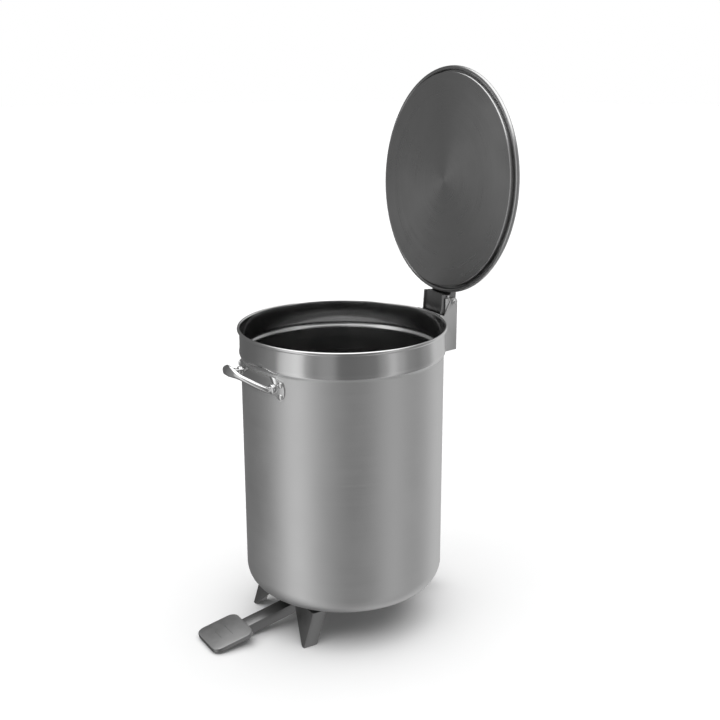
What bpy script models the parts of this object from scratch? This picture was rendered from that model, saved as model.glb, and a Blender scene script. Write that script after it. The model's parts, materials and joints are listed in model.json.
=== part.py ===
"""Pedal trash can: a round stainless steel pail on three feet, whose lid is lifted by a foot pedal.

The pedal rocks on a pin under the base. Its rear end lifts a rod that runs up behind the pail,
and the fork on top of the rod turns the lid about its hinge pin. The model stands with the pedal
down and the lid open. Units are metres, +Z is up and the pedal points along -Y.
"""
import math

import bmesh
import bpy
from mathutils import Matrix, Vector

NAME = "pedal_trash_can"

# Clearances
GAP = 0.0003
SIDE_PLAY = 0.0006

# Pail
BODY_R = 0.190
COLLAR_OUT = 0.002
RIM_OUT = 0.006
COLLAR_R = BODY_R + COLLAR_OUT
RIM_R = BODY_R + RIM_OUT
WALL = 0.0012
BASE_Z = 0.070
PAIL_H = 0.513
CORNER_R = 0.042
RIM_BEAD_H = 0.007
COLLAR_H = 0.041
STEP_H = 0.015
STEP_BULGE = 0.0010
RIM_Z = BASE_Z + PAIL_H
PAIL_STEPS = 64

# Lid
LID_OVERHANG = 0.017
LID_R = RIM_R + LID_OVERHANG
LID_BEAD_R = 0.004
LID_SHEET = 0.0010
LID_PAN_SHEET = 0.0008
LID_PAN_OVERHANG = 0.0054
LID_PAN_R = RIM_R + LID_PAN_OVERHANG
LID_PAN_LIP = 0.0026
LID_PAN_CORNER = 0.0015
LID_PAN_DROP = 0.0091
LID_OPEN = math.radians(94.3)
LID_RING_Z = RIM_Z + GAP + LID_PAN_DROP + 0.0001

# Hinge, its bracket behind the rim and the lid's arm
PIN_BEHIND_RIM = 0.0326
PIN_Y = RIM_R + PIN_BEHIND_RIM
PIN_RISE = 0.0209
PIN_R = 0.0040
PIN_HEAD_R = 0.0062
PIN_HEAD_T = 0.0022
PIN_DOME_T = 0.0022
PIN_DOME_R = 0.0038
PIN_TAIL = 0.006
PIN_COLLAR_T = 0.0055
CHEEK_T = 0.003
CHEEK_SPACE = 0.070
BRACKET_DROP = 0.078
BRACKET_END_SLANT = 0.003
BRACKET_WEB_T = 0.003
BRACKET_BACK = 0.0075
RIM_TO_WEB = 0.0005
EAR_R = 0.0075
ARM_SHEET = 0.003
ARM_DEPTH_DOWN = 0.024
ARM_DEPTH_UP = 0.008
ARM_HEEL = 0.033
ARM_TO_LID_GAP = 0.0032
ARM_PANEL_RECESS = 0.0045
ARM_REACH = 0.128
ARM_TIP_H = 0.0035
ARM_TIP_LEN = 0.006
ARM_SHOULDER = 0.012
ARM_PANEL_TOP = 0.008
ARM_END_WALL = 0.0012
ARM_ROOF_T = 0.0026
STRAP_MARGIN = 0.0162
STRAP_T = 0.0025
STRAP_LEN = 0.140
STRAP_INSET = 0.004
STRAP_RIVET_END = 0.020
CROSS_PIN_AHEAD = 0.0095
CROSS_PIN_BELOW = 0.0115
CROSS_PIN_R = 0.0025
SPACER_R = 0.0064
BUMPER_BELOW = 0.002
BUMPER_H = 0.010

# Push rod behind the pail
ROD_R = 0.004
FORK_PLATE_T = 0.003
FORK_FRONT = 0.0178
FORK_REAR = 0.0072
FORK_PLAY = 0.0010
FORK_DROP = 0.040
FORK_BRIDGE_H = 0.012
CLEVIS_WALL = 0.003
CLEVIS_DEPTH = 0.012
CLEVIS_BELOW = 0.0085
CLEVIS_PIN_HEAD_R = 0.0050
CLEVIS_PIN_HEAD_T = 0.0020
CLEVIS_H = 0.040
CLEVIS_SLOT_H = 0.024
CLEVIS_PIN_R = 0.003
CLEVIS_PLAY = 0.0005
NUT_R = 0.0075
NUT_T = 0.006
BUSH_WALL = 0.0025
BUSH_FLANGE_OUT = 0.0020
BUSH_R = ROD_R + BUSH_WALL
BUSH_FLANGE_R = BUSH_R + BUSH_FLANGE_OUT
BUSH_FLANGE_T = 0.0015
GUIDE_T = 0.003
LOWER_GUIDE_Z = 0.150
LOWER_GUIDE_W = 0.020
LOWER_GUIDE_END = 0.0075
LOWER_GUIDE_H = 0.042

# Base and feet
BASE_PLATE_INSET = 0.052
BASE_PLATE_R = BODY_R - BASE_PLATE_INSET
PLATE_T = 0.003
FOOT_SIDE_INSET = 0.085
FOOT_FRONT_INSET = 0.040
FOOT_X = BODY_R - FOOT_SIDE_INSET
FOOT_Y = BODY_R - FOOT_FRONT_INSET
FOOT_FLANGE_W = 0.028
FOOT_FACE_W = 0.078
FOOT_TOE_W = 0.007
FOOT_LEAN = 0.315
FOOT_TAB_W = 0.052
FOOT_TAB_D = 0.046
REAR_FOOT_INSET = 0.062
REAR_FOOT_Y = BODY_R - REAR_FOOT_INSET
REAR_FOOT_W = 0.056
REAR_FOOT_D = 0.026

# Pedal lever
PEDAL_SLOPE = 0.200
TUBE_W = 0.030
TUBE_H = 0.020
TUBE_WALL = 0.002
TUBE_TOP_Z = 0.0265
TUBE_TOP_Y = -0.2115
TUBE_BEND_Y = -0.115
TUBE_END_Y = 0.044
TUBE_NOSE_Y = -0.288
TUBE_NOSE_Z = 0.0055
INNER_SLOPE = 0.105
PIVOT_Y = 0.030
PIVOT_R = 0.005
PIVOT_HEAD_R = 0.0078
PIVOT_HEAD_T = 0.003
PIVOT_TAIL = 0.005
PIVOT_EDGE = 0.001
LUG_T = 0.003
LUG_W = 0.026
REAR_BAR_PLAY = 0.0003
REAR_BAR_W = TUBE_W - 2 * TUBE_WALL - 2 * REAR_BAR_PLAY
REAR_BAR_H = 0.0150
REAR_BAR_END = 0.0075
PAD_FRONT_Y = -0.3035
PAD_LEN = 0.0845
PAD_W = 0.088
PAD_SHEET = 0.002
PAD_SKIRT = 0.0065
PAD_CORNER_R = 0.016

# Handle
HANDLE_PLATE_T = 0.002
HANDLE_TOP_DROP = 0.0575
HANDLE_BAND_H = 0.033
HANDLE_HALF_BAND = 0.072
HANDLE_EAR_X = 0.0785
HANDLE_EAR_HALF_W = 0.0095
HANDLE_EAR_TOP = 0.0620
HANDLE_EAR_H = 0.037
HANDLE_RIVET_X = 0.0800
HANDLE_RIVET_TOP = 0.0690
HANDLE_RIVET_STEP = 0.022
HANDLE_BOSS_X = 0.0650
HANDLE_BOSS_DROP = 0.0785
HANDLE_ROD_R = 0.0052
HANDLE_REACH = 0.0480
HANDLE_STUB = 0.0095
HANDLE_RISE = 0.0240
LEAF_HALF_L = 0.034
LEAF_HALF_W = 0.0090
LEAF_HALF_T = 0.0032
BOSS_R = 0.0088
BOSS_T = 0.0070

# Fasteners
RIVET_R = 0.0030
RIVET_HEAD_R = 0.0056
RIVET_HEAD_T = 0.0022
RIVET_FOOT_R = 0.0045
RIVET_FOOT_T = 0.0012
BLIND_END = 0.0006
BRACKET_RIVET_X = 0.018
BRACKET_RIVET_DROPS = (0.025, 0.067)
BOLT_HEAD_R = 0.0060
BOLT_HEAD_T = 0.0040
SMALL_STEPS = 24
RIVET_STEPS = 12

# Derived places, measured from the pail's axis
PIN_Z = RIM_Z + PIN_RISE
WEB_Y = RIM_R + RIM_TO_WEB
ROD_Y = PIN_Y - (FORK_FRONT + FORK_REAR) / 2
LID_TOP_Z = LID_RING_Z + LID_BEAD_R
ARM_W = CHEEK_SPACE - 4 * SIDE_PLAY - 2 * FORK_PLATE_T
STRAP_W = ARM_W + 2 * STRAP_MARGIN
CLEVIS_W = REAR_BAR_W + 2 * SIDE_PLAY + 2 * CLEVIS_WALL
TAB_Z = BASE_Z - GAP - PLATE_T - GAP - PLATE_T


def turn_closed_to_open(y, z):
    """Where a point of the closed lid, measured from the pin, is on the open lid."""
    c = math.cos(-LID_OPEN)
    s = math.sin(-LID_OPEN)
    return c * y - s * z, s * y + c * z


CROSS_OPEN_Y, CROSS_OPEN_Z = turn_closed_to_open(-CROSS_PIN_AHEAD, -CROSS_PIN_BELOW)
ROD_TRAVEL = CROSS_OPEN_Z + CROSS_PIN_BELOW
FORK_TOP_Z = PIN_Z + CROSS_OPEN_Z - CROSS_PIN_R - FORK_PLAY
FORK_BRIDGE_Z = PIN_Z - FORK_DROP - FORK_BRIDGE_H
BEND_TOP_Z = TUBE_TOP_Z + PEDAL_SLOPE * (TUBE_BEND_Y - TUBE_TOP_Y)
PIVOT_Z = BEND_TOP_Z + INNER_SLOPE * (PIVOT_Y - TUBE_BEND_Y) - TUBE_H / 2
PEDAL_ANGLE = math.asin(ROD_TRAVEL / (ROD_Y - PIVOT_Y))

BEAD_OPEN_Y, BEAD_OPEN_Z = turn_closed_to_open(-PIN_Y - LID_R + LID_BEAD_R, LID_RING_Z - PIN_Z)
REACH_BACK = PIN_Y + BEAD_OPEN_Y + LID_BEAD_R
AXIS_Y = -(PAD_FRONT_Y + REACH_BACK) / 2


# Scene helpers
def clear_scene():
    for item in list(bpy.data.objects):
        bpy.data.objects.remove(item, do_unlink=True)


clear_scene()
parts = bpy.data.collections.new(NAME)
cutters = bpy.data.collections.new(NAME + "_cutters")
bpy.context.scene.collection.children.link(parts)
bpy.context.scene.collection.children.link(cutters)
cutters.hide_render = True


def steel(name, colour, roughness, metallic=1.0):
    made = bpy.data.materials.new(name)
    made.use_nodes = True
    shader = made.node_tree.nodes["Principled BSDF"]
    shader.inputs["Base Color"].default_value = (*colour, 1.0)
    shader.inputs["Roughness"].default_value = roughness
    shader.inputs["Metallic"].default_value = metallic
    made.diffuse_color = (*colour, 1.0)
    return made


BRUSHED = steel("brushed_body_steel", (0.58, 0.58, 0.59), 0.34)
LID_STEEL = steel("lid_steel", (0.50, 0.50, 0.51), 0.30)
BRACKET_STEEL = steel("bracket_steel", (0.60, 0.60, 0.61), 0.36)
DARK_STEEL = steel("dark_steel", (0.30, 0.30, 0.31), 0.40)
POLISHED = steel("polished_steel", (0.75, 0.75, 0.76), 0.14)
ROD_STEEL = steel("rod_steel", (0.55, 0.55, 0.56), 0.28)
NYLON = steel("nylon", (0.78, 0.77, 0.74), 0.50, 0.0)
RUBBER = steel("rubber", (0.04, 0.04, 0.04), 0.80, 0.0)


def pivot(name, y, z, parent=None, turn=0.0):
    """An empty on a joint's axis, which the pieces of a moving body hang from."""
    made = bpy.data.objects.new(name, None)
    made.location = (0.0, y, z)
    made.rotation_euler = (turn, 0.0, 0.0)
    made.parent = parent
    made.empty_display_size = 0.03
    parts.objects.link(made)
    return made


can_axis = pivot("can_axis", AXIS_Y, 0.0)
lid_axis = pivot("lid_hinge_axis", PIN_Y, PIN_Z, can_axis, -LID_OPEN)
rod_axis = pivot("push_rod_axis", ROD_Y, 0.0, can_axis)
pedal_axis = pivot("pedal_hinge_axis", PIVOT_Y, PIVOT_Z, can_axis)


def add(name, mesh, material, parent, smooth=35.0):
    made = bpy.data.objects.new(name, mesh)
    mesh.materials.clear()
    mesh.materials.append(material)
    mesh.shade_smooth()
    mesh.set_sharp_from_angle(angle=math.radians(smooth))
    parts.objects.link(made)
    made.parent = parent
    return made


def mesh_from(build, name):
    frame = bmesh.new()
    build(frame)
    bmesh.ops.recalc_face_normals(frame, faces=frame.faces)
    mesh = bpy.data.meshes.new(name)
    frame.to_mesh(mesh)
    frame.free()
    return mesh


def box_mesh(low, high):
    """A box between two corners."""
    size = Vector(high) - Vector(low)
    middle = (Vector(high) + Vector(low)) / 2
    place = Matrix.Translation(middle) @ Matrix.Diagonal((*size, 1.0))
    return mesh_from(lambda frame: bmesh.ops.create_cube(frame, size=1.0, matrix=place), "box")


AIM = {
    "X": Matrix.Rotation(math.pi / 2, 4, "Y"),
    "Y": Matrix.Rotation(-math.pi / 2, 4, "X"),
    "Z": Matrix.Identity(4),
}


def cylinder_mesh(radius, start, length, axis, steps=SMALL_STEPS, aim=None):
    """A cylinder that starts at a point and runs along an axis."""
    turn = AIM[axis] if aim is None else aim
    middle = Vector(start) + turn @ Vector((0.0, 0.0, length / 2))
    place = Matrix.Translation(middle) @ turn

    def build(frame):
        bmesh.ops.create_cone(frame, cap_ends=True, segments=steps, radius1=radius,
                              radius2=radius, depth=length, matrix=place)

    return mesh_from(build, "cylinder")


def evaluated(made):
    """A made object's mesh with its modifiers or its curve turned into faces."""
    bpy.context.view_layer.update()
    view = made.evaluated_get(bpy.context.evaluated_depsgraph_get())
    mesh = bpy.data.meshes.new_from_object(view)
    bpy.data.objects.remove(made, do_unlink=True)
    return mesh


def turned_mesh(profile, steps=SMALL_STEPS, place=None):
    """A body turned about Z from (radius, height) points, running down the outer side."""
    mesh = bpy.data.meshes.new("profile")
    verts = [(radius, 0.0, height) for radius, height in profile]
    edges = [(i, i + 1) for i in range(len(profile) - 1)]
    if profile[0][0] > 0.0:
        edges.append((len(profile) - 1, 0))
    mesh.from_pydata(verts, edges, [])
    made = bpy.data.objects.new("profile", mesh)
    parts.objects.link(made)
    screw = made.modifiers.new("turn", "SCREW")
    screw.steps = steps
    screw.render_steps = steps
    screw.use_merge_vertices = True
    screw.merge_threshold = 0.00001
    turned = evaluated(made)
    if place is not None:
        turned.transform(place)
    return turned


def prism_mesh(outline, low, high, plane):
    """A flat outline made solid: plane YZ runs along X from low to high, XZ along Y, XY along Z."""
    curve = bpy.data.curves.new("outline", "CURVE")
    curve.dimensions = "2D"
    curve.fill_mode = "BOTH"
    curve.extrude = (high - low) / 2
    line = curve.splines.new("POLY")
    line.points.add(len(outline) - 1)
    for point, (u, v) in zip(line.points, outline):
        point.co = (u, v, 0.0, 1.0)
    line.use_cyclic_u = True
    made = bpy.data.objects.new("outline", curve)
    parts.objects.link(made)
    mesh = evaluated(made)
    frame = bmesh.new()
    frame.from_mesh(mesh)
    bmesh.ops.remove_doubles(frame, verts=frame.verts, dist=0.00001)
    bmesh.ops.recalc_face_normals(frame, faces=frame.faces)
    frame.to_mesh(mesh)
    frame.free()
    middle = (low + high) / 2
    if plane == "XY":
        mesh.transform(Matrix.Translation((0.0, 0.0, middle)))
    elif plane == "YZ":
        swap = Matrix(((0, 0, 1, middle), (1, 0, 0, 0), (0, 1, 0, 0), (0, 0, 0, 1)))
        mesh.transform(swap)
    else:
        swap = Matrix(((1, 0, 0, 0), (0, 0, -1, middle), (0, 1, 0, 0), (0, 0, 0, 1)))
        mesh.transform(swap)
    return mesh


def boolean(made, mesh, operation):
    """Join, cut or keep with a helper solid, and leave a plain mesh behind."""
    tool = bpy.data.objects.new(made.name + "_tool", mesh)
    cutters.objects.link(tool)
    tool.parent = made.parent
    tool.hide_render = True
    tool.display_type = "WIRE"
    step = made.modifiers.new(operation.lower(), "BOOLEAN")
    step.operation = operation
    step.solver = "EXACT"
    step.object = tool
    bpy.context.view_layer.update()
    view = made.evaluated_get(bpy.context.evaluated_depsgraph_get())
    result = bpy.data.meshes.new_from_object(view)
    made.modifiers.remove(step)
    made.data = result
    bpy.data.objects.remove(tool, do_unlink=True)
    frame = bmesh.new()
    frame.from_mesh(result)
    bmesh.ops.remove_doubles(frame, verts=frame.verts, dist=0.000002)
    bmesh.ops.dissolve_degenerate(frame, edges=frame.edges, dist=0.000002)
    frame.to_mesh(result)
    frame.free()
    result.set_sharp_from_angle(angle=math.radians(35.0))


def cut(made, mesh):
    boolean(made, mesh, "DIFFERENCE")


def join(made, mesh):
    boolean(made, mesh, "UNION")


def keep(made, mesh):
    boolean(made, mesh, "INTERSECT")


def arc(y, z, radius_y, radius_z, start, end, count):
    """Points of an elliptic arc, angles in degrees from +Y towards +Z."""
    points = []
    for i in range(count + 1):
        angle = math.radians(start + (end - start) * i / count)
        points.append((y + radius_y * math.cos(angle), z + radius_z * math.sin(angle)))
    return points


def lathe_place(x, y, z, direction):
    """Puts a turned fastener, whose head points along +Z, at a point along a direction."""
    turn = Vector((0.0, 0.0, 1.0)).rotation_difference(Vector(direction)).to_matrix().to_4x4()
    return Matrix.Translation((x, y, z)) @ turn


def rivet_profile(grip, formed=True):
    """A domed head above z=0 and a shank through the grip, with a flat formed head below or none."""
    dome = [(RIVET_HEAD_R * math.sin(math.radians(a)), GAP + RIVET_HEAD_T * math.cos(math.radians(a)))
            for a in (0, 35, 65, 90)]
    if not formed:
        return dome + [(RIVET_R, GAP), (RIVET_R, -grip), (0.0, -grip)]
    foot = -grip - GAP
    low = foot - RIVET_FOOT_T
    return dome + [(RIVET_R, GAP), (RIVET_R, foot), (RIVET_FOOT_R, foot), (RIVET_FOOT_R, low), (0.0, low)]


def rivet(name, place, direction, grip, parent, formed=True):
    mesh = turned_mesh(rivet_profile(grip, formed), RIVET_STEPS, lathe_place(*place, direction))
    return add(name, mesh, POLISHED, parent)


def drill(made, place, direction, radius, before, beyond):
    """A round hole through a piece, from before its face to beyond its back."""
    turn = Vector((0.0, 0.0, 1.0)).rotation_difference(Vector(direction)).to_matrix().to_4x4()
    start = Vector(place) + Vector(direction).normalized() * before
    cut(made, cylinder_mesh(radius, start, -(before + beyond), "Z", 16, turn))


# Pail
def pail_line(offset):
    """The body's side from its rounded bottom up to the collar, moved inwards by an offset."""
    step_z = RIM_Z - COLLAR_H
    bulge = COLLAR_R + STEP_BULGE
    side = arc(BODY_R - CORNER_R, BASE_Z + CORNER_R, CORNER_R - offset, CORNER_R - offset, -90, 0, 5)
    side += [
        (BODY_R - offset, step_z - STEP_H),
        (BODY_R + 0.55 * (bulge - BODY_R) - offset, step_z - 0.72 * STEP_H),
        (bulge - offset, step_z - 0.42 * STEP_H),
        (bulge - offset, step_z - 0.22 * STEP_H),
        (COLLAR_R - offset, step_z),
    ]
    return side


def make_pail():
    bead_in = COLLAR_R - WALL
    bead_y = (RIM_R + bead_in) / 2
    bead_z = RIM_Z - RIM_BEAD_H / 2
    bead = arc(bead_y, bead_z, (RIM_R - bead_in) / 2, RIM_BEAD_H / 2, 180, -60, 6)
    inside = [(0.0, BASE_Z + WALL)] + pail_line(WALL)
    outside = [(COLLAR_R, bead_z - RIM_BEAD_H / 2)] + pail_line(0.0)[::-1] + [(0.0, BASE_Z)]
    mesh = turned_mesh(inside + bead + outside, PAIL_STEPS)
    return add("can_body", mesh, BRUSHED, can_axis, 25.0)


can_body = make_pail()

# Base plate and feet
base_plate = add(
    "base_plate",
    cylinder_mesh(BASE_PLATE_R, (0, 0, BASE_Z - GAP - PLATE_T), PLATE_T, "Z", 48),
    DARK_STEEL, can_axis)


def lean(mesh):
    """Leans an upright plate towards the pail's axis as it rises."""
    mesh.transform(Matrix(((1, 0, 0, 0), (0, 1, FOOT_LEAN, 0), (0, 0, 1, 0), (0, 0, 0, 1))))
    return mesh


def make_front_foot(name, side):
    """A folded angle: a narrow side flange, a face that tapers to the toe, and a top tab."""
    top = TAB_Z + PLATE_T
    outer = side * FOOT_X
    inner = side * (FOOT_X - PLATE_T)
    flange = lean(box_mesh((min(outer, inner), -FOOT_Y, 0.0),
                           (max(outer, inner), -FOOT_Y + FOOT_FLANGE_W, top)))
    made = add(name, flange, DARK_STEEL, can_axis)
    toe = side * (FOOT_X - FOOT_TOE_W)
    knee = side * (FOOT_X - FOOT_TOE_W - 0.004)
    wide = side * (FOOT_X - FOOT_FACE_W)
    face = [(outer, 0.0), (toe, 0.0), (knee, 0.002), (wide, top), (outer, top)]
    join(made, lean(prism_mesh(face, -FOOT_Y, -FOOT_Y + PLATE_T, "XZ")))
    tab_y = -FOOT_Y + FOOT_LEAN * TAB_Z
    tab_in = side * (FOOT_X - FOOT_TAB_W)
    join(made, box_mesh((min(outer, tab_in), tab_y, TAB_Z),
                        (max(outer, tab_in), tab_y + FOOT_TAB_D, top)))
    return made


def make_rear_foot():
    """A stirrup that the lever passes through."""
    half = REAR_FOOT_W / 2
    low = (-half, REAR_FOOT_Y, 0.0)
    high = (half, REAR_FOOT_Y + REAR_FOOT_D, TAB_Z + PLATE_T)
    made = add("rear_foot", box_mesh(low, high), DARK_STEEL, can_axis)
    far = REAR_FOOT_Y + REAR_FOOT_D
    cut(made, box_mesh((-half + PLATE_T, REAR_FOOT_Y - 0.01, PLATE_T),
                       (half - PLATE_T, far + 0.01, TAB_Z)))
    join(made, box_mesh((-half, REAR_FOOT_Y - FOOT_TAB_D / 2, TAB_Z),
                        (half, REAR_FOOT_Y + PLATE_T, TAB_Z + PLATE_T)))
    return made


feet = {
    "front_left": make_front_foot("foot_front_left", -1),
    "front_right": make_front_foot("foot_front_right", 1),
    "rear": make_rear_foot(),
}

BOLT_Y = -FOOT_Y + FOOT_LEAN * TAB_Z + FOOT_TAB_D * 0.74
BOLT_X = FOOT_X - FOOT_TAB_W * 0.72
REAR_BOLT_Y = REAR_FOOT_Y - FOOT_TAB_D / 4
REAR_BOLT_X = REAR_BAR_W / 2 + BOLT_HEAD_R + 0.0025
FOOT_BOLTS = (
    ("front_left", "front_left", -BOLT_X, BOLT_Y),
    ("front_right", "front_right", BOLT_X, BOLT_Y),
    ("rear", "rear_left", -REAR_BOLT_X, REAR_BOLT_Y),
    ("rear", "rear_right", REAR_BOLT_X, REAR_BOLT_Y),
)


def hex_bolt(name, place, direction, grip, parent):
    """A six-sided head with a shank, which stops inside the last plate it goes through."""
    place_at = lathe_place(*place, direction)
    head = cylinder_mesh(BOLT_HEAD_R, (0, 0, GAP), BOLT_HEAD_T, "Z", 6)
    head.transform(place_at)
    made = add(name, head, POLISHED, parent, 20.0)
    shank = cylinder_mesh(RIVET_R, (0, 0, -grip), grip + 0.002, "Z", 16)
    shank.transform(place_at)
    join(made, shank)
    return made


for foot, name, bolt_x, bolt_y in FOOT_BOLTS:
    grip = 2 * PLATE_T + GAP - 0.0004
    drill(feet[foot], (bolt_x, bolt_y, TAB_Z), (0, 0, -1), RIVET_R + GAP, 0.001, PLATE_T + 0.001)
    drill(base_plate, (bolt_x, bolt_y, TAB_Z), (0, 0, -1), RIVET_R + GAP, 0.0,
          2 * PLATE_T + GAP + 0.001)
    hex_bolt("foot_bolt_" + name, (bolt_x, bolt_y, TAB_Z), (0, 0, -1), grip, can_axis)


# Handle
def make_handle():
    """A curved backplate with an ear at each end, and a bail between two bosses."""
    band_low = RIM_Z - HANDLE_TOP_DROP - HANDLE_BAND_H
    band_high = RIM_Z - HANDLE_TOP_DROP
    ear_z = RIM_Z - HANDLE_EAR_TOP - HANDLE_EAR_H / 2
    ring_in = BODY_R + GAP
    ring_out = ring_in + HANDLE_PLATE_T
    top = band_high + 0.01
    low = RIM_Z - HANDLE_EAR_TOP - HANDLE_EAR_H - 0.01
    ring = turned_mesh([(ring_in, top), (ring_out, top), (ring_out, low), (ring_in, low)], PAIL_STEPS)
    made = add("handle_backplate", ring, POLISHED, can_axis)
    half = HANDLE_HALF_BAND
    outline = [(-half, band_high)]
    outline += arc(-HANDLE_EAR_X, ear_z, HANDLE_EAR_HALF_W, HANDLE_EAR_H / 2, 100, 290, 12)
    outline += [(-half + 0.004, band_low), (half - 0.004, band_low)]
    outline += arc(HANDLE_EAR_X, ear_z, HANDLE_EAR_HALF_W, HANDLE_EAR_H / 2, -110, 80, 12)
    outline += [(half, band_high)]
    keep(made, prism_mesh(outline, -BODY_R - 0.02, -BODY_R * 0.5, "XZ"))
    return made


def out_from_axis(x, radius):
    """The place and direction of a thing fixed square to the round wall."""
    y = -math.sqrt(radius ** 2 - x ** 2)
    return (x, y), Vector((x, y, 0.0)).normalized()


handle_backplate = make_handle()
PLATE_OUT_R = BODY_R + GAP + HANDLE_PLATE_T
for side_name, side in (("left", -1), ("right", 1)):
    for level, drop in (("upper", HANDLE_RIVET_TOP), ("lower", HANDLE_RIVET_TOP + HANDLE_RIVET_STEP)):
        (x, y), away = out_from_axis(side * HANDLE_RIVET_X, PLATE_OUT_R)
        place = (x, y, RIM_Z - drop)
        drill(handle_backplate, place, away, RIVET_R + GAP, 0.004, 0.004)
        drill(can_body, place, away, RIVET_R + GAP, 0.0, 0.009)
        rivet(f"handle_rivet_{side_name}_{level}", place, away, PLATE_OUT_R - BODY_R + WALL + GAP, can_axis)


def tube_mesh(points, radius, resolution=3):
    """A round bar along points, as a curve with a bevel and welded caps."""
    curve = bpy.data.curves.new("bar", "CURVE")
    curve.dimensions = "3D"
    curve.bevel_depth = radius
    curve.bevel_resolution = resolution
    curve.use_fill_caps = True
    line = curve.splines.new("POLY")
    line.points.add(len(points) - 1)
    for point, place in zip(line.points, points):
        point.co = (*place, 1.0)
    made = bpy.data.objects.new("bar", curve)
    parts.objects.link(made)
    mesh = evaluated(made)
    frame = bmesh.new()
    frame.from_mesh(mesh)
    bmesh.ops.remove_doubles(frame, verts=frame.verts, dist=0.00001)
    bmesh.ops.recalc_face_normals(frame, faces=frame.faces)
    frame.to_mesh(mesh)
    frame.free()
    return mesh


BOSS_Z = RIM_Z - HANDLE_BOSS_DROP
BOSS_FACE_Y = -math.sqrt(PLATE_OUT_R ** 2 - HANDLE_BOSS_X ** 2)


def bail_points(count=12):
    """The bail's middle line: straight out of each boss, then round, up and across in one curve."""
    start = Vector((HANDLE_BOSS_X, BOSS_FACE_Y - HANDLE_STUB, BOSS_Z))
    knee = start + Vector((0.0, -HANDLE_STUB * 1.25, HANDLE_RISE * 0.16))
    top = Vector((0.0, -BODY_R - HANDLE_REACH, BOSS_Z + HANDLE_RISE))
    shoulder = top + Vector((HANDLE_BOSS_X * 0.43, 0.001, -0.001))
    half = [Vector((HANDLE_BOSS_X, BOSS_FACE_Y + 0.01, BOSS_Z))]
    for i in range(count + 1):
        t = i / count
        weights = ((1 - t) ** 3, 3 * t * (1 - t) ** 2, 3 * t * t * (1 - t), t ** 3)
        half.append(sum((w * p for w, p in zip(weights, (start, knee, shoulder, top))), Vector()))
    return [Vector((-p.x, p.y, p.z)) for p in half[:-1]] + half[::-1]


def clear_of_backplate(made):
    """Cuts the end of a piece to the backplate's curve."""
    cut(made, cylinder_mesh(PLATE_OUT_R + GAP, (0, 0, BOSS_Z - 0.03), 0.06, "Z", 4 * PAIL_STEPS))


def flatten_middle(mesh):
    """Forges the middle of the bail into a leaf that stands square to the bail's own plane."""
    line = bail_points(48)
    out = Vector((0.0, -1.0, HANDLE_RISE / HANDLE_REACH)).normalized()
    wide = out.cross(Vector((1.0, 0.0, 0.0)))
    for vert in mesh.vertices:
        near = min(line, key=lambda p: (p - vert.co).length_squared)
        share = max(0.0, 1.0 - abs(near.x) / LEAF_HALF_L)
        share = min(1.0, 1.25 * share * share * (3 - 2 * share))
        offset = vert.co - near
        for way, half in ((wide, LEAF_HALF_W), (out, LEAF_HALF_T)):
            vert.co += way * offset.dot(way) * share * (half / HANDLE_ROD_R - 1)
    return mesh


bail_mesh = flatten_middle(tube_mesh(bail_points(), HANDLE_ROD_R))
handle_bail = add("handle_bail", bail_mesh, POLISHED, can_axis, 60.0)
clear_of_backplate(handle_bail)
for side_name, side in (("left", -1), ("right", 1)):
    face = BOSS_FACE_Y - BOSS_T
    inner_r = HANDLE_ROD_R + GAP
    bevel = BOSS_T * 0.2
    line = [(inner_r, 0.0), (BOSS_R - bevel, 0.0), (BOSS_R, -bevel), (BOSS_R, -0.02), (inner_r, -0.02)]
    place = lathe_place(side * HANDLE_BOSS_X, face, BOSS_Z, (0, -1, 0))
    boss = add(f"handle_boss_{side_name}", turned_mesh(line, SMALL_STEPS, place), POLISHED, can_axis)
    clear_of_backplate(boss)


# Hinge bracket behind the rim
def make_bracket():
    """Two cheeks with an ear for the pin, on a web that stands clear of the rim's bead."""
    back = PIN_Y + BRACKET_BACK
    ear = arc(PIN_Y, PIN_Z, EAR_R, EAR_R, 0, 140, 8)
    outline = [(WEB_Y, RIM_Z - BRACKET_DROP), (back, RIM_Z - BRACKET_DROP + BRACKET_END_SLANT)]
    outline += ear
    outline += [(WEB_Y + 0.010, RIM_Z - 0.005), (WEB_Y, RIM_Z - 0.001)]
    half = CHEEK_SPACE / 2 + CHEEK_T
    made = add("hinge_bracket", prism_mesh(outline, -half, half, "YZ"), BRACKET_STEEL, can_axis)
    cut(made, box_mesh((-CHEEK_SPACE / 2, WEB_Y + BRACKET_WEB_T, RIM_Z - BRACKET_DROP - 0.01),
                       (CHEEK_SPACE / 2, back + 0.02, PIN_Z + 0.03)))
    cut(made, cylinder_mesh(PIN_R + GAP, (-half - 0.01, PIN_Y, PIN_Z), 2 * half + 0.02, "X"))
    return made


hinge_bracket = make_bracket()
UPPER_SPACER_Y = COLLAR_R + GAP
LOWER_SPACER_Y = BODY_R + GAP
SPACER_HALF = 0.028
upper_drop, lower_drop = BRACKET_RIVET_DROPS
bracket_spacer_upper = add(
    "bracket_spacer_upper",
    box_mesh((-SPACER_HALF, UPPER_SPACER_Y, RIM_Z - COLLAR_H + 0.001),
             (SPACER_HALF, WEB_Y - GAP, RIM_Z - RIM_BEAD_H - 0.004)),
    BRACKET_STEEL, can_axis)
bracket_spacer_lower = add(
    "bracket_spacer_lower",
    box_mesh((-SPACER_HALF, LOWER_SPACER_Y, RIM_Z - BRACKET_DROP + 0.001),
             (SPACER_HALF, WEB_Y - GAP, RIM_Z - COLLAR_H - STEP_H - 0.001)),
    BRACKET_STEEL, can_axis)

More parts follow.
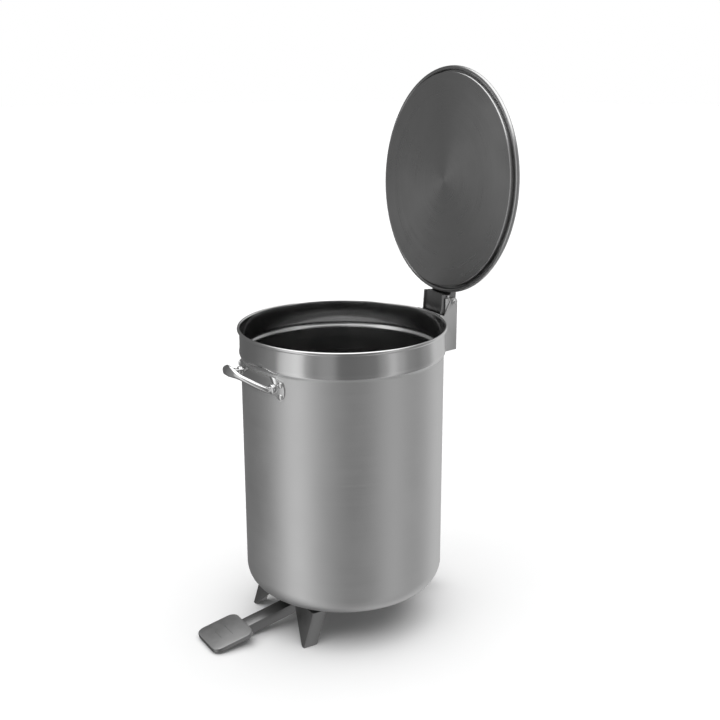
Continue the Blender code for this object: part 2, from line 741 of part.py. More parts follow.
for level, drop, spacer, spacer_y in (("upper", upper_drop, bracket_spacer_upper, UPPER_SPACER_Y),
                                      ("lower", lower_drop, bracket_spacer_lower, LOWER_SPACER_Y)):
    for side_name, side in (("left", -1), ("right", 1)):
        place = (side * BRACKET_RIVET_X, WEB_Y + BRACKET_WEB_T, RIM_Z - drop)
        grip = WEB_Y + BRACKET_WEB_T - spacer_y
        for piece in (hinge_bracket, spacer):
            drill(piece, place, (0, 1, 0), RIVET_R + GAP, 0.002, grip + 0.002)
        rivet(f"bracket_rivet_{level}_{side_name}", place, (0, 1, 0), grip - BLIND_END, can_axis, False)

heel_y, heel_z = turn_closed_to_open(ARM_HEEL, -ARM_DEPTH_DOWN)
add("stop_bumper",
    box_mesh((-ARM_W / 2, WEB_Y + BRACKET_WEB_T + GAP, PIN_Z + heel_z - BUMPER_BELOW),
             (ARM_W / 2, PIN_Y + heel_y - GAP, PIN_Z + heel_z - BUMPER_BELOW + BUMPER_H)),
    RUBBER, can_axis)

# Hinge pin, its domed ends and its spacers
pin_reach = CHEEK_SPACE / 2 + CHEEK_T + GAP
pin_line = [(0.0, pin_reach + PIN_HEAD_T + PIN_DOME_T)]
for a in (35, 65, 90):
    turn = math.radians(a)
    pin_line.append((PIN_DOME_R * math.sin(turn), pin_reach + PIN_HEAD_T + PIN_DOME_T * math.cos(turn)))
pin_line += [(PIN_HEAD_R, pin_reach + PIN_HEAD_T), (PIN_HEAD_R, pin_reach), (PIN_R, pin_reach)]
pin_line += [(PIN_R, -pin_reach - PIN_TAIL), (0.0, -pin_reach - PIN_TAIL)]
pin_place = Matrix.Translation((0, PIN_Y, PIN_Z))
add("hinge_pin", turned_mesh(pin_line, SMALL_STEPS, pin_place @ AIM["X"]), POLISHED, can_axis)
collar_in = PIN_R + GAP
collar_line = [(collar_in, PIN_COLLAR_T), (PIN_HEAD_R, PIN_COLLAR_T), (PIN_HEAD_R, 0.0), (collar_in, 0.0)]
collar_place = Matrix.Translation((-pin_reach, PIN_Y, PIN_Z)) @ Matrix.Rotation(-math.pi / 2, 4, "Y")
add("hinge_pin_collar", turned_mesh(collar_line, SMALL_STEPS, collar_place), POLISHED, can_axis)

spacer_in = ARM_W / 2 + GAP
spacer_out = CHEEK_SPACE / 2 - GAP
for side_name, side in (("left", -1), ("right", 1)):
    line = [(collar_in, spacer_out), (SPACER_R, spacer_out), (SPACER_R, spacer_in), (collar_in, spacer_in)]
    place = pin_place @ Matrix.Rotation(side * math.pi / 2, 4, "Y")
    add(f"hinge_spacer_{side_name}", turned_mesh(line, SMALL_STEPS, place), NYLON, can_axis)


# Lid: the pieces are modelled closed, measured from the hinge pin
def lid_place():
    return Matrix.Translation((0.0, -PIN_Y, LID_RING_Z - PIN_Z))


bead_centre = LID_R - LID_BEAD_R
sheet_low = LID_BEAD_R - LID_SHEET
bead_join = bead_centre - math.sqrt(LID_BEAD_R ** 2 - sheet_low ** 2)
shell_line = [(0.0, LID_BEAD_R)]
shell_line += arc(bead_centre, 0.0, LID_BEAD_R, LID_BEAD_R, 90, -180, 9)
shell_line += [(bead_join, sheet_low), (0.0, sheet_low)]
lid_shell = add("lid_shell", turned_mesh(shell_line, PAIL_STEPS, lid_place()), LID_STEEL, lid_axis, 50.0)

lip_top = sheet_low - GAP
lip_low = lip_top - LID_PAN_SHEET
pan_floor = -LID_PAN_DROP + LID_PAN_SHEET
pan_line = [(0.0, pan_floor)]
pan_line += arc(LID_PAN_R - LID_PAN_CORNER, pan_floor + LID_PAN_CORNER - LID_PAN_SHEET,
                LID_PAN_CORNER - LID_PAN_SHEET, LID_PAN_CORNER - LID_PAN_SHEET, -90, 0, 2)
pan_line += [(LID_PAN_R - LID_PAN_SHEET, lip_top), (LID_PAN_R + LID_PAN_LIP, lip_top),
             (LID_PAN_R + LID_PAN_LIP, lip_low), (LID_PAN_R, lip_low)]
pan_line += arc(LID_PAN_R - LID_PAN_CORNER, -LID_PAN_DROP + LID_PAN_CORNER,
                LID_PAN_CORNER, LID_PAN_CORNER, 0, -90, 4)
pan_line += [(0.0, -LID_PAN_DROP)]
add("lid_inner_pan", turned_mesh(pan_line, PAIL_STEPS, lid_place()), LID_STEEL, lid_axis, 50.0)

lid_top = LID_TOP_Z - PIN_Z
strap_low = lid_top + GAP
strap_high = strap_low + STRAP_T
edge_y = -PIN_Y + LID_R
strap_back = edge_y - STRAP_INSET
lid_strap = add("lid_strap", box_mesh((-STRAP_W / 2, strap_back - STRAP_LEN, strap_low),
                                      (STRAP_W / 2, strap_back, strap_high)), BRACKET_STEEL, lid_axis)


def make_arm():
    """A closed box behind the lid's edge that runs on over the lid as a tapered channel."""
    front = edge_y + ARM_TO_LID_GAP
    above = strap_high + GAP
    tip = strap_back - ARM_REACH
    tip_top = above + ARM_TIP_H
    outline = [(ARM_HEEL, -ARM_DEPTH_DOWN), (ARM_HEEL, ARM_DEPTH_UP), (front - ARM_SHOULDER, ARM_DEPTH_UP),
               (tip + ARM_TIP_LEN, tip_top), (tip, above), (front, above), (front, -ARM_DEPTH_DOWN)]
    half = ARM_W / 2
    made = add("lid_arm", prism_mesh(outline[::-1], -half, half, "YZ"), DARK_STEEL, lid_axis)
    inner = half - ARM_SHEET
    panel = -ARM_DEPTH_DOWN + ARM_PANEL_RECESS
    end_face = -ARM_DEPTH_DOWN + ARM_PANEL_TOP
    cut(made, box_mesh((-inner, front - 0.01, -ARM_DEPTH_DOWN - 0.01), (inner, ARM_HEEL + 0.01, panel)))
    hollow_tip = tip + 2 * ARM_TIP_LEN
    end_wall = front + ARM_END_WALL
    hollow = [(ARM_HEEL + 0.01, panel + ARM_SHEET / 2), (ARM_HEEL + 0.01, ARM_DEPTH_UP - ARM_SHEET),
              (front - ARM_SHOULDER - 0.001, ARM_DEPTH_UP - ARM_SHEET), (hollow_tip, tip_top - ARM_ROOF_T),
              (hollow_tip, above - 0.01), (front - 0.01, above - 0.01),
              (front - 0.01, end_face - 0.001), (end_wall, end_face - 0.001),
              (end_wall, panel + ARM_SHEET / 2)]
    cut(made, prism_mesh(hollow[::-1], -inner, inner, "YZ"))
    return made


lid_arm = make_arm()
cut(lid_arm, cylinder_mesh(PIN_R + GAP, (-ARM_W, 0.0, 0.0), 2 * ARM_W, "X"))
cross_place = (-CHEEK_SPACE / 2 + SIDE_PLAY, -CROSS_PIN_AHEAD, -CROSS_PIN_BELOW)
cross_hole = (-ARM_W, -CROSS_PIN_AHEAD, -CROSS_PIN_BELOW)
cut(lid_arm, cylinder_mesh(CROSS_PIN_R + GAP, cross_hole, 2 * ARM_W, "X", 16))
add("lift_pin", cylinder_mesh(CROSS_PIN_R, cross_place, CHEEK_SPACE - 2 * SIDE_PLAY, "X", 16),
    POLISHED, lid_axis)

STRAP_RIVET_X = (ARM_W + STRAP_W) / 4
for row, y in (("rear", strap_back - STRAP_RIVET_END), ("front", strap_back - STRAP_LEN + STRAP_RIVET_END)):
    for side_name, side in (("left", -1), ("right", 1)):
        place = (side * STRAP_RIVET_X, y, strap_high)
        grip = STRAP_T + GAP + LID_SHEET
        for piece in (lid_strap, lid_shell):
            drill(piece, place, (0, 0, 1), RIVET_R + GAP, 0.002, grip + 0.002)
        rivet(f"strap_rivet_{row}_{side_name}", place, (0, 0, 1), grip, lid_axis)


# Push rod, measured from its own axis
def make_fork():
    """Two plates beside the lid's arm, on a bridge that the rod screws into."""
    outer = CHEEK_SPACE / 2 - SIDE_PLAY
    inner = outer - FORK_PLATE_T
    half_y = (FORK_FRONT - FORK_REAR) / 2
    made = add("rod_fork", box_mesh((-outer, -half_y, FORK_BRIDGE_Z), (outer, half_y, FORK_TOP_Z)),
               ROD_STEEL, rod_axis)
    cut(made, box_mesh((-inner, -half_y - 0.01, FORK_BRIDGE_Z + FORK_BRIDGE_H),
                       (inner, half_y + 0.01, FORK_TOP_Z + 0.01)))
    cut(made, cylinder_mesh(ROD_R + GAP, (0, 0, FORK_BRIDGE_Z - 0.01), FORK_BRIDGE_H + 0.02, "Z"))
    return made


make_fork()
CLEVIS_PIN_Z = PIVOT_Z
clevis_low = CLEVIS_PIN_Z - CLEVIS_BELOW
clevis_high = clevis_low + CLEVIS_H
rod_low = clevis_low + CLEVIS_SLOT_H + 0.001
rod_high = FORK_BRIDGE_Z + FORK_BRIDGE_H
add("push_rod", cylinder_mesh(ROD_R, (0, 0, rod_low), rod_high - rod_low, "Z"), ROD_STEEL, rod_axis)


def make_nut(name, low):
    made = add(name, cylinder_mesh(NUT_R, (0, 0, low), NUT_T, "Z", 6), POLISHED, rod_axis, 20.0)
    cut(made, cylinder_mesh(ROD_R + GAP, (0, 0, low - 0.01), NUT_T + 0.02, "Z"))
    return made


make_nut("fork_lock_nut", FORK_BRIDGE_Z - GAP - NUT_T)
make_nut("clevis_lock_nut", clevis_high + GAP)


def make_clevis():
    """A block with a slot for the lever's rear bar and a hole for the rod."""
    half = CLEVIS_W / 2
    deep = CLEVIS_DEPTH / 2
    block = box_mesh((-half, -deep, clevis_low), (half, deep, clevis_high))
    made = add("rod_clevis", block, ROD_STEEL, rod_axis)
    slot = REAR_BAR_W / 2 + SIDE_PLAY
    cut(made, box_mesh((-slot, -deep - 0.01, clevis_low - 0.01),
                       (slot, deep + 0.01, clevis_low + CLEVIS_SLOT_H)))
    cut(made, cylinder_mesh(ROD_R + GAP, (0, 0, clevis_low), CLEVIS_H + 0.01, "Z"))
    cut(made, cylinder_mesh(CLEVIS_PIN_R + GAP, (-CLEVIS_W, 0, CLEVIS_PIN_Z), 2 * CLEVIS_W, "X", 16))
    return made


make_clevis()
clevis_reach = CLEVIS_W / 2 + GAP
clevis_end = clevis_reach + CLEVIS_PIN_HEAD_T
clevis_line = [(0.0, clevis_end), (CLEVIS_PIN_HEAD_R, clevis_end), (CLEVIS_PIN_HEAD_R, clevis_reach),
               (CLEVIS_PIN_R, clevis_reach), (CLEVIS_PIN_R, -clevis_end), (0.0, -clevis_end)]
add("clevis_pin", turned_mesh(clevis_line, 16, Matrix.Translation((0, 0, CLEVIS_PIN_Z)) @ AIM["X"]),
    POLISHED, rod_axis)


# Guides that hold the rod upright
def bush_mesh(low):
    """A flanged nylon bush that sits in a guide plate."""
    inner = ROD_R + GAP
    top = low + GUIDE_T
    line = [(inner, top + GAP + BUSH_FLANGE_T), (BUSH_FLANGE_R, top + GAP + BUSH_FLANGE_T),
            (BUSH_FLANGE_R, top + GAP), (BUSH_R, top + GAP), (BUSH_R, low - 0.0015), (inner, low - 0.0015)]
    return turned_mesh(line, SMALL_STEPS, Matrix.Translation((0, ROD_Y, 0)))


upper_guide_z = RIM_Z - BRACKET_DROP + 0.006
upper_guide_box = box_mesh(
    (-CHEEK_SPACE / 2 + GAP, WEB_Y + BRACKET_WEB_T + GAP, upper_guide_z),
    (CHEEK_SPACE / 2 - GAP, PIN_Y + BRACKET_BACK - 0.002, upper_guide_z + GUIDE_T))
upper_guide = add("upper_guide", upper_guide_box, BRACKET_STEEL, can_axis)
hole_r = BUSH_R + GAP
cut(upper_guide, cylinder_mesh(hole_r, (0, ROD_Y, upper_guide_z - 0.01), 0.03, "Z"))
for drop_x in (-BRACKET_RIVET_X, BRACKET_RIVET_X):
    clear = cylinder_mesh(RIVET_HEAD_R + 0.001, (drop_x, WEB_Y + BRACKET_WEB_T - 0.001, RIM_Z - lower_drop),
                          RIVET_HEAD_T + 0.003, "Y")
    cut(upper_guide, clear)
add("upper_bush", bush_mesh(upper_guide_z), NYLON, can_axis)

wall_y = BODY_R + GAP
guide_foot = LOWER_GUIDE_Z - LOWER_GUIDE_H + GUIDE_T
guide_end = ROD_Y + LOWER_GUIDE_END
guide_top = LOWER_GUIDE_Z + GUIDE_T
guide_outline = [(wall_y, guide_foot), (wall_y + GUIDE_T, guide_foot), (wall_y + GUIDE_T, LOWER_GUIDE_Z),
                 (guide_end, LOWER_GUIDE_Z), (guide_end, guide_top), (wall_y, guide_top)]
lower_guide = add("lower_guide", prism_mesh(guide_outline, -LOWER_GUIDE_W / 2, LOWER_GUIDE_W / 2, "YZ"),
                  BRACKET_STEEL, can_axis)
cut(lower_guide, cylinder_mesh(hole_r, (0, ROD_Y, LOWER_GUIDE_Z - 0.01), 0.03, "Z"))
add("lower_bush", bush_mesh(LOWER_GUIDE_Z), NYLON, can_axis)
for level, below in (("upper", 0.010), ("lower", 0.030)):
    place = (0.0, wall_y + GUIDE_T, LOWER_GUIDE_Z - below)
    for piece in (lower_guide, can_body):
        drill(piece, place, (0, 1, 0), RIVET_R + GAP, 0.002, GUIDE_T + 0.006)
    rivet(f"guide_rivet_{level}", place, (0, 1, 0), GUIDE_T + GAP + WALL + 0.0002, can_axis)


# Pedal lever, measured from its pivot
def tube_top(y):
    """Height of the tube's top line over the floor."""
    if y < TUBE_BEND_Y:
        return TUBE_TOP_Z + PEDAL_SLOPE * (y - TUBE_TOP_Y)
    return BEND_TOP_Z + INNER_SLOPE * (y - TUBE_BEND_Y)


def from_pivot(points):
    return [(y - PIVOT_Y, z - PIVOT_Z) for y, z in points]


def make_pedal_arm():
    """A bent rectangular tube; its nose under the pad is cut open along the floor side."""
    scarf_y = TUBE_TOP_Y + (TUBE_NOSE_Z + TUBE_H * 1.02 - TUBE_TOP_Z) / PEDAL_SLOPE
    outer = [(TUBE_NOSE_Y, tube_top(TUBE_NOSE_Y)), (TUBE_NOSE_Y, TUBE_NOSE_Z), (scarf_y, TUBE_NOSE_Z),
             (TUBE_BEND_Y, BEND_TOP_Z - TUBE_H), (TUBE_END_Y, tube_top(TUBE_END_Y) - TUBE_H),
             (TUBE_END_Y, tube_top(TUBE_END_Y)), (TUBE_BEND_Y, BEND_TOP_Z)]
    solid = prism_mesh(from_pivot(outer), -TUBE_W / 2, TUBE_W / 2, "YZ")
    made = add("pedal_arm", solid, DARK_STEEL, pedal_axis)
    nose = TUBE_NOSE_Y - 0.01
    tail = TUBE_END_Y + 0.01
    open_y = scarf_y + 0.006
    inner = [(nose, tube_top(nose) - TUBE_WALL), (nose, TUBE_NOSE_Z - 0.01), (open_y, TUBE_NOSE_Z - 0.01),
             (open_y, tube_top(open_y) - TUBE_H + TUBE_WALL),
             (TUBE_BEND_Y, BEND_TOP_Z - TUBE_H + TUBE_WALL), (tail, tube_top(tail) - TUBE_H + TUBE_WALL),
             (tail, tube_top(tail) - TUBE_WALL), (TUBE_BEND_Y, BEND_TOP_Z - TUBE_WALL)]
    half = TUBE_W / 2 - TUBE_WALL
    cut(made, prism_mesh(from_pivot(inner), -half, half, "YZ"))
    cut(made, cylinder_mesh(PIVOT_R + GAP, (-TUBE_W, 0, 0), 2 * TUBE_W, "X"))
    return made


make_pedal_arm()


def make_rear_lever():
    """A bar that fills the tube around the pivot and runs level to the rod."""
    start = PIVOT_Y - 0.060
    tail = ROD_Y + REAR_BAR_END
    half = REAR_BAR_H / 2
    bend = TUBE_END_Y + 0.006
    line = [(start, tube_top(start) - TUBE_H / 2), (bend, tube_top(bend) - TUBE_H / 2),
            (bend + 0.020, CLEVIS_PIN_Z), (tail, CLEVIS_PIN_Z)]
    outline = [(y, z - half) for y, z in line] + [(y, z + half) for y, z in line[::-1]]
    made = add("rear_lever", prism_mesh(from_pivot(outline), -REAR_BAR_W / 2, REAR_BAR_W / 2, "YZ"),
               DARK_STEEL, pedal_axis)
    cut(made, cylinder_mesh(PIVOT_R + GAP, (-TUBE_W, 0, 0), 2 * TUBE_W, "X"))
    hole_r = CLEVIS_PIN_R + CLEVIS_PLAY
    slide = (ROD_Y - PIVOT_Y) * (1 - math.cos(PEDAL_ANGLE)) + GAP
    slot = arc(ROD_Y, CLEVIS_PIN_Z, hole_r, hole_r, 90, 270, 8)
    slot += arc(ROD_Y + slide, CLEVIS_PIN_Z, hole_r, hole_r, -90, 90, 8)
    cut(made, prism_mesh(from_pivot(slot), -TUBE_W, TUBE_W, "YZ"))
    return made


make_rear_lever()


def rounded_rectangle(x, y, half_w, half_l, radius, count=5):
    """Outline of a rectangle with round corners."""
    points = []
    for sx, sy, start in ((1, 1, 0), (-1, 1, 90), (-1, -1, 180), (1, -1, 270)):
        points += arc(x + sx * (half_w - radius), y + sy * (half_l - radius), radius, radius,
                      start, start + 90, count)
    return points


def make_pad():
    """A pressed tray, open below, with a notch in its rear skirt for the arm."""
    tilt = math.atan(PEDAL_SLOPE)
    height = PAD_SHEET + PAD_SKIRT
    outline = rounded_rectangle(0.0, 0.0, PAD_W / 2, PAD_LEN / 2, PAD_CORNER_R)
    made = add("pedal_pad", prism_mesh(outline, -height, 0.0, "XY"), DARK_STEEL, pedal_axis)
    cavity = rounded_rectangle(0.0, 0.0, PAD_W / 2 - PAD_SHEET, PAD_LEN / 2 - PAD_SHEET,
                               PAD_CORNER_R - PAD_SHEET)
    cut(made, prism_mesh(cavity, -height - 0.01, -PAD_SHEET, "XY"))
    notch = TUBE_W / 2 + GAP
    cut(made, box_mesh((-notch, 0.0, -height - 0.01), (notch, PAD_LEN, -PAD_SHEET)))
    centre_y = PAD_FRONT_Y + PAD_LEN / 2 * math.cos(tilt)
    lift = (PAD_SHEET + GAP) / math.cos(tilt)
    centre_z = tube_top(centre_y) + lift
    place = Matrix.Translation((0.0, centre_y - PIVOT_Y, centre_z - PIVOT_Z)) @ Matrix.Rotation(tilt, 4, "X")
    made.data.transform(place)
    return made


make_pad()

# Pivot under the base plate
lug_top = BASE_Z - GAP - PLATE_T - GAP
for side_name, side in (("left", -1), ("right", 1)):
    inner = TUBE_W / 2 + SIDE_PLAY
    low_x, high_x = sorted((side * inner, side * (inner + LUG_T)))
    outline = [(PIVOT_Y - LUG_W / 2, lug_top), (PIVOT_Y - LUG_W / 2, PIVOT_Z)]
    outline += arc(PIVOT_Y, PIVOT_Z, LUG_W / 2, LUG_W / 2 * 0.8, 180, 360, 10)[1:]
    outline += [(PIVOT_Y + LUG_W / 2, lug_top)]
    lug = add(f"pivot_lug_{side_name}", prism_mesh(outline, low_x, high_x, "YZ"), DARK_STEEL, can_axis)
    cut(lug, cylinder_mesh(PIVOT_R + GAP, (-TUBE_W, PIVOT_Y, PIVOT_Z), 2 * TUBE_W, "X"))

lug_reach = TUBE_W / 2 + SIDE_PLAY + LUG_T + GAP
pivot_end = lug_reach + PIVOT_HEAD_T
pivot_tail = -lug_reach - PIVOT_TAIL
pivot_line = [(0.0, pivot_end), (PIVOT_HEAD_R - PIVOT_EDGE, pivot_end),
              (PIVOT_HEAD_R, pivot_end - PIVOT_EDGE), (PIVOT_HEAD_R, lug_reach), (PIVOT_R, lug_reach), (PIVOT_R, pivot_tail), (0.0, pivot_tail)]
add("pivot_pin", turned_mesh(pivot_line, SMALL_STEPS, Matrix.Translation((0, PIVOT_Y, PIVOT_Z)) @ AIM["X"]),
    POLISHED, can_axis)
clip_line = [(PIVOT_R + GAP, PIVOT_HEAD_T), (PIVOT_HEAD_R, PIVOT_HEAD_T), (PIVOT_HEAD_R, 0.0),
             (PIVOT_R + GAP, 0.0)]
clip_place = Matrix.Translation((-lug_reach, PIVOT_Y, PIVOT_Z)) @ Matrix.Rotation(-math.pi / 2, 4, "Y")
add("pivot_collar", turned_mesh(clip_line, SMALL_STEPS, clip_place), POLISHED, can_axis)
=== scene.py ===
"""Looks of the pedal trash can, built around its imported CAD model. Metres, +Z up, pedal along -Y."""
import json
import math

import bmesh
import bpy
from mathutils import Matrix, Vector

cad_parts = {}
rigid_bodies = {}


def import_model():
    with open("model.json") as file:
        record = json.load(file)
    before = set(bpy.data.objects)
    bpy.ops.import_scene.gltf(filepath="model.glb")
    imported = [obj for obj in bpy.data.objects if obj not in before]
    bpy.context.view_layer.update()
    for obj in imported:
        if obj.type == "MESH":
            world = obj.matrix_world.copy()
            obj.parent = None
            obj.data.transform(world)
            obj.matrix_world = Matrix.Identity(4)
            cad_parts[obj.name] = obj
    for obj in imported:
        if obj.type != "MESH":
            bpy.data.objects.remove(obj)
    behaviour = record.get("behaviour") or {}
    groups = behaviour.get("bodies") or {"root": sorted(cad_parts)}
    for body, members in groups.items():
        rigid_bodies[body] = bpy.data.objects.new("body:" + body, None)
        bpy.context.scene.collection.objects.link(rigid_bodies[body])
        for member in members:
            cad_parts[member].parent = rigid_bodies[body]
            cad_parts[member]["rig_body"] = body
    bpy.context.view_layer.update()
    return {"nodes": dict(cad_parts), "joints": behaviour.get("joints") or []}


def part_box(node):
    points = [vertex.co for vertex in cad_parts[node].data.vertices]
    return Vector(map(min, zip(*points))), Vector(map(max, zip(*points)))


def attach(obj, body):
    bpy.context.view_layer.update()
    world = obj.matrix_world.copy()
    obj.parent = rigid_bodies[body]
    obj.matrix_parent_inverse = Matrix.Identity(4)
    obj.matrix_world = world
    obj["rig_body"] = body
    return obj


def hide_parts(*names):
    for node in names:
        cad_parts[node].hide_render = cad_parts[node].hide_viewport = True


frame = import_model()
nodes = frame["nodes"]
scene = bpy.context.scene
scene.view_settings.view_transform = "Standard"

# Places read from the frame
can_low, can_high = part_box("can_body")
AXIS_Y = (can_low.y + can_high.y) / 2
RIM_Z = can_high.z
BASE_Z = can_low.z
pin_low, pin_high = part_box("hinge_pin")
PIN = Vector((0.0, (pin_low.y + pin_high.y) / 2, (pin_low.z + pin_high.z) / 2))
lid_hinge = next(j for j in frame["joints"] if j["name"] == "lid_hinge")
LID_OPEN = math.radians(lid_hinge["range_deg"][1])

# Pail
BODY_R = 0.190
COLLAR_R = 0.192
RIM_R = 0.196
WALL = 0.0012
CORNER_R = 0.042
RIM_BEAD_H = 0.007
COLLAR_H = 0.041
STEP_H = 0.015
STEP_BULGE = 0.0010
PAIL_STEPS = 224

# Lid
LID_R = 0.213
LID_BEAD_R = 0.004
LID_SHEET = 0.0010
PAN_R = 0.2014
PAN_SHEET = 0.0008
PAN_LIP = 0.0026
PAN_CORNER = 0.0022
PAN_DROP = 0.0091
LID_RING_RISE = 0.0095
LID_STEPS = 256

# Camera, measured from the can's axis on the floor
VIEW_AZ = math.radians(59.5)
VIEW_DISTANCE = 2.0907
VIEW_HEIGHT = 1.1355
AIM_AZ = math.radians(58.6)
AIM_DOWN = math.radians(16.59)
ROLL = math.radians(-0.15)
LENS = 57.94
SENSOR = 36.0


# Node material helpers
class Nodes:
    """A node tree with short calls for the few nodes used here."""

    def __init__(self, tree):
        self.tree = tree
        self.link = tree.links.new

    def new(self, kind, **settings):
        made = self.tree.nodes.new(kind)
        for key, value in settings.items():
            setattr(made, key, value)
        return made

    def feed(self, socket, value):
        if hasattr(value, "is_output"):
            self.link(value, socket)
        else:
            socket.default_value = value

    def math(self, operation, a, b=0.0, c=0.0, clamp=False):
        made = self.new("ShaderNodeMath", operation=operation, use_clamp=clamp)
        for socket, value in zip(made.inputs, (a, b, c)):
            self.feed(socket, value)
        return made.outputs[0]

    def ramp(self, value, low, high, to_low=0.0, to_high=1.0, smooth=False):
        made = self.new("ShaderNodeMapRange", interpolation_type="SMOOTHSTEP" if smooth else "LINEAR")
        for socket, number in zip(made.inputs, (value, low, high, to_low, to_high)):
            self.feed(socket, number)
        return made.outputs[0]

    def noise(self, vector, scale, detail=2.0, rough=0.5):
        made = self.new("ShaderNodeTexNoise")
        self.feed(made.inputs["Vector"], vector)
        made.inputs["Scale"].default_value = scale
        made.inputs["Detail"].default_value = detail
        made.inputs["Roughness"].default_value = rough
        return made.outputs[0]

    def stretch(self, vector, scale):
        made = self.new("ShaderNodeMapping")
        self.feed(made.inputs["Vector"], vector)
        made.inputs["Scale"].default_value = scale
        return made.outputs[0]

    def tint(self, factor, dark, light):
        made = self.new("ShaderNodeMix", data_type="RGBA")
        self.feed(made.inputs[0], factor)
        made.inputs[6].default_value = (*dark, 1.0)
        made.inputs[7].default_value = (*light, 1.0)
        return made.outputs[2]

    def blend(self, factor, one, two):
        made = self.new("ShaderNodeMix", data_type="RGBA")
        for socket, value in ((0, factor), (6, one), (7, two)):
            self.feed(made.inputs[socket], value)
        return made.outputs[2]


def grey(level):
    return (level, level, level)


# Steel: how far its tone runs below and above its level, how the sharp edges that get a painted highlight
# are found, and how inner faces are found
TONE_LOW = 0.55
TONE_HIGH = 1.45
TONE_TOP = 0.92
EDGE_HIGHLIGHT_STARTS = 0.50
EDGE_HIGHLIGHT_FULL = 0.56
EDGE_HIGHLIGHT_GAIN = 0.22
INNER_STARTS = -0.80
INNER_FULL = -0.97


def steel_tones(n, tone, level):
    return n.tint(tone, grey(level * TONE_LOW), grey(min(level * TONE_HIGH, TONE_TOP)))


def metal(name, level, rough, grain, rings=False, aniso=0.0, bump=0.04, wear=0.05,
          mottle=0.06, polish=None, inside=None, turned=0.0):
    """Brushed steel: fine grain stretched along one way, soft blotches, and a painted highlight that
    brightens sharp edges.

    grain scales the object's coordinates, so the long way of the scratches has the small number.
    rings turns the grain round the object's Z axis, and turned swings the long way of its shine.
    polish is (height, softness, roughness above, level above). inside is (level, roughness) of the
    faces that look towards the object's Z axis.
    """
    made = bpy.data.materials.new(name)
    made.use_nodes = True
    n = Nodes(made.node_tree)
    shader = made.node_tree.nodes["Principled BSDF"]
    place = n.new("ShaderNodeTexCoord").outputs["Object"]
    if rings:
        parts = n.new("ShaderNodeSeparateXYZ")
        n.link(place, parts.inputs[0])
        x, y, z = parts.outputs
        radius = n.math("SQRT", n.math("ADD", n.math("MULTIPLY", x, x), n.math("MULTIPLY", y, y)))
        ring = n.new("ShaderNodeCombineXYZ")
        for socket, value, share in zip(ring.inputs, (radius, x, y), (grain[2], grain[0], grain[0])):
            n.link(n.math("MULTIPLY", value, share), socket)
        grained = ring.outputs[0]
    else:
        grained = n.stretch(place, grain)
    fine = n.noise(grained, 1.0, 4.0, 0.62)
    coarse = n.noise(grained, 0.22, 2.0)
    blotch = n.noise(place, 9.0, 3.0, 0.6)
    mark = n.math("ADD", n.math("MULTIPLY", fine, 0.6), n.math("MULTIPLY", coarse, 0.4))
    # Sharp convex edges, found by pointiness, are brightened in the colour: a painted edge highlight
    edge_highlight = n.ramp(n.new("ShaderNodeNewGeometry").outputs["Pointiness"], EDGE_HIGHLIGHT_STARTS, EDGE_HIGHLIGHT_FULL)
    tone = n.math("ADD", n.ramp(mark, 0.3, 0.7, -wear, wear), n.ramp(blotch, 0.3, 0.7, -mottle, mottle))
    tone = n.math("ADD", n.math("ADD", 0.5, tone), n.math("MULTIPLY", edge_highlight, EDGE_HIGHLIGHT_GAIN), clamp=True)
    colour = steel_tones(n, tone, level)
    spread = n.math("ADD", n.ramp(mark, 0.3, 0.7, -0.05, 0.05), n.ramp(blotch, 0.35, 0.7, -0.02, 0.04))
    base = rough
    if polish:
        height, soft, rough_above, level_above = polish
        up = n.new("ShaderNodeSeparateXYZ")
        n.link(place, up.inputs[0])
        share = n.ramp(up.outputs[2], height - soft, height + soft, smooth=True)
        base = n.ramp(share, 0.0, 1.0, rough, rough_above)
        colour = n.blend(share, colour, steel_tones(n, tone, level_above))
    if inside:
        level_in, rough_in = inside
        normal = n.new("ShaderNodeTexCoord").outputs["Normal"]
        outward = n.new("ShaderNodeVectorMath", operation="MULTIPLY")
        n.link(place, outward.inputs[0])
        outward.inputs[1].default_value = (1.0, 1.0, 0.0)
        unit = n.new("ShaderNodeVectorMath", operation="NORMALIZE")
        n.link(outward.outputs[0], unit.inputs[0])
        facing_out = n.new("ShaderNodeVectorMath", operation="DOT_PRODUCT")
        n.link(normal, facing_out.inputs[0])
        n.link(unit.outputs[0], facing_out.inputs[1])
        share = n.ramp(facing_out.outputs["Value"], INNER_STARTS, INNER_FULL)
        base = n.math("ADD", n.math("MULTIPLY", share, rough_in),
                      n.math("MULTIPLY", n.math("SUBTRACT", 1.0, share), base))
        colour = n.blend(share, colour, steel_tones(n, tone, level_in))
    n.link(colour, shader.inputs["Base Color"])
    n.link(n.math("ADD", base, spread, clamp=True), shader.inputs["Roughness"])
    shader.inputs["Metallic"].default_value = 1.0
    shader.inputs["Anisotropic"].default_value = aniso
    shader.inputs["Anisotropic Rotation"].default_value = turned
    if aniso and rings:
        tangent = n.new("ShaderNodeTangent", direction_type="RADIAL", axis="Z")
        n.link(tangent.outputs[0], shader.inputs["Tangent"])
    relief = n.new("ShaderNodeBump")
    relief.inputs["Strength"].default_value = bump
    relief.inputs["Distance"].default_value = 0.0004
    n.link(mark, relief.inputs["Height"])
    n.link(relief.outputs[0], shader.inputs["Normal"])
    made.diffuse_color = (*grey(level), 1.0)
    return made


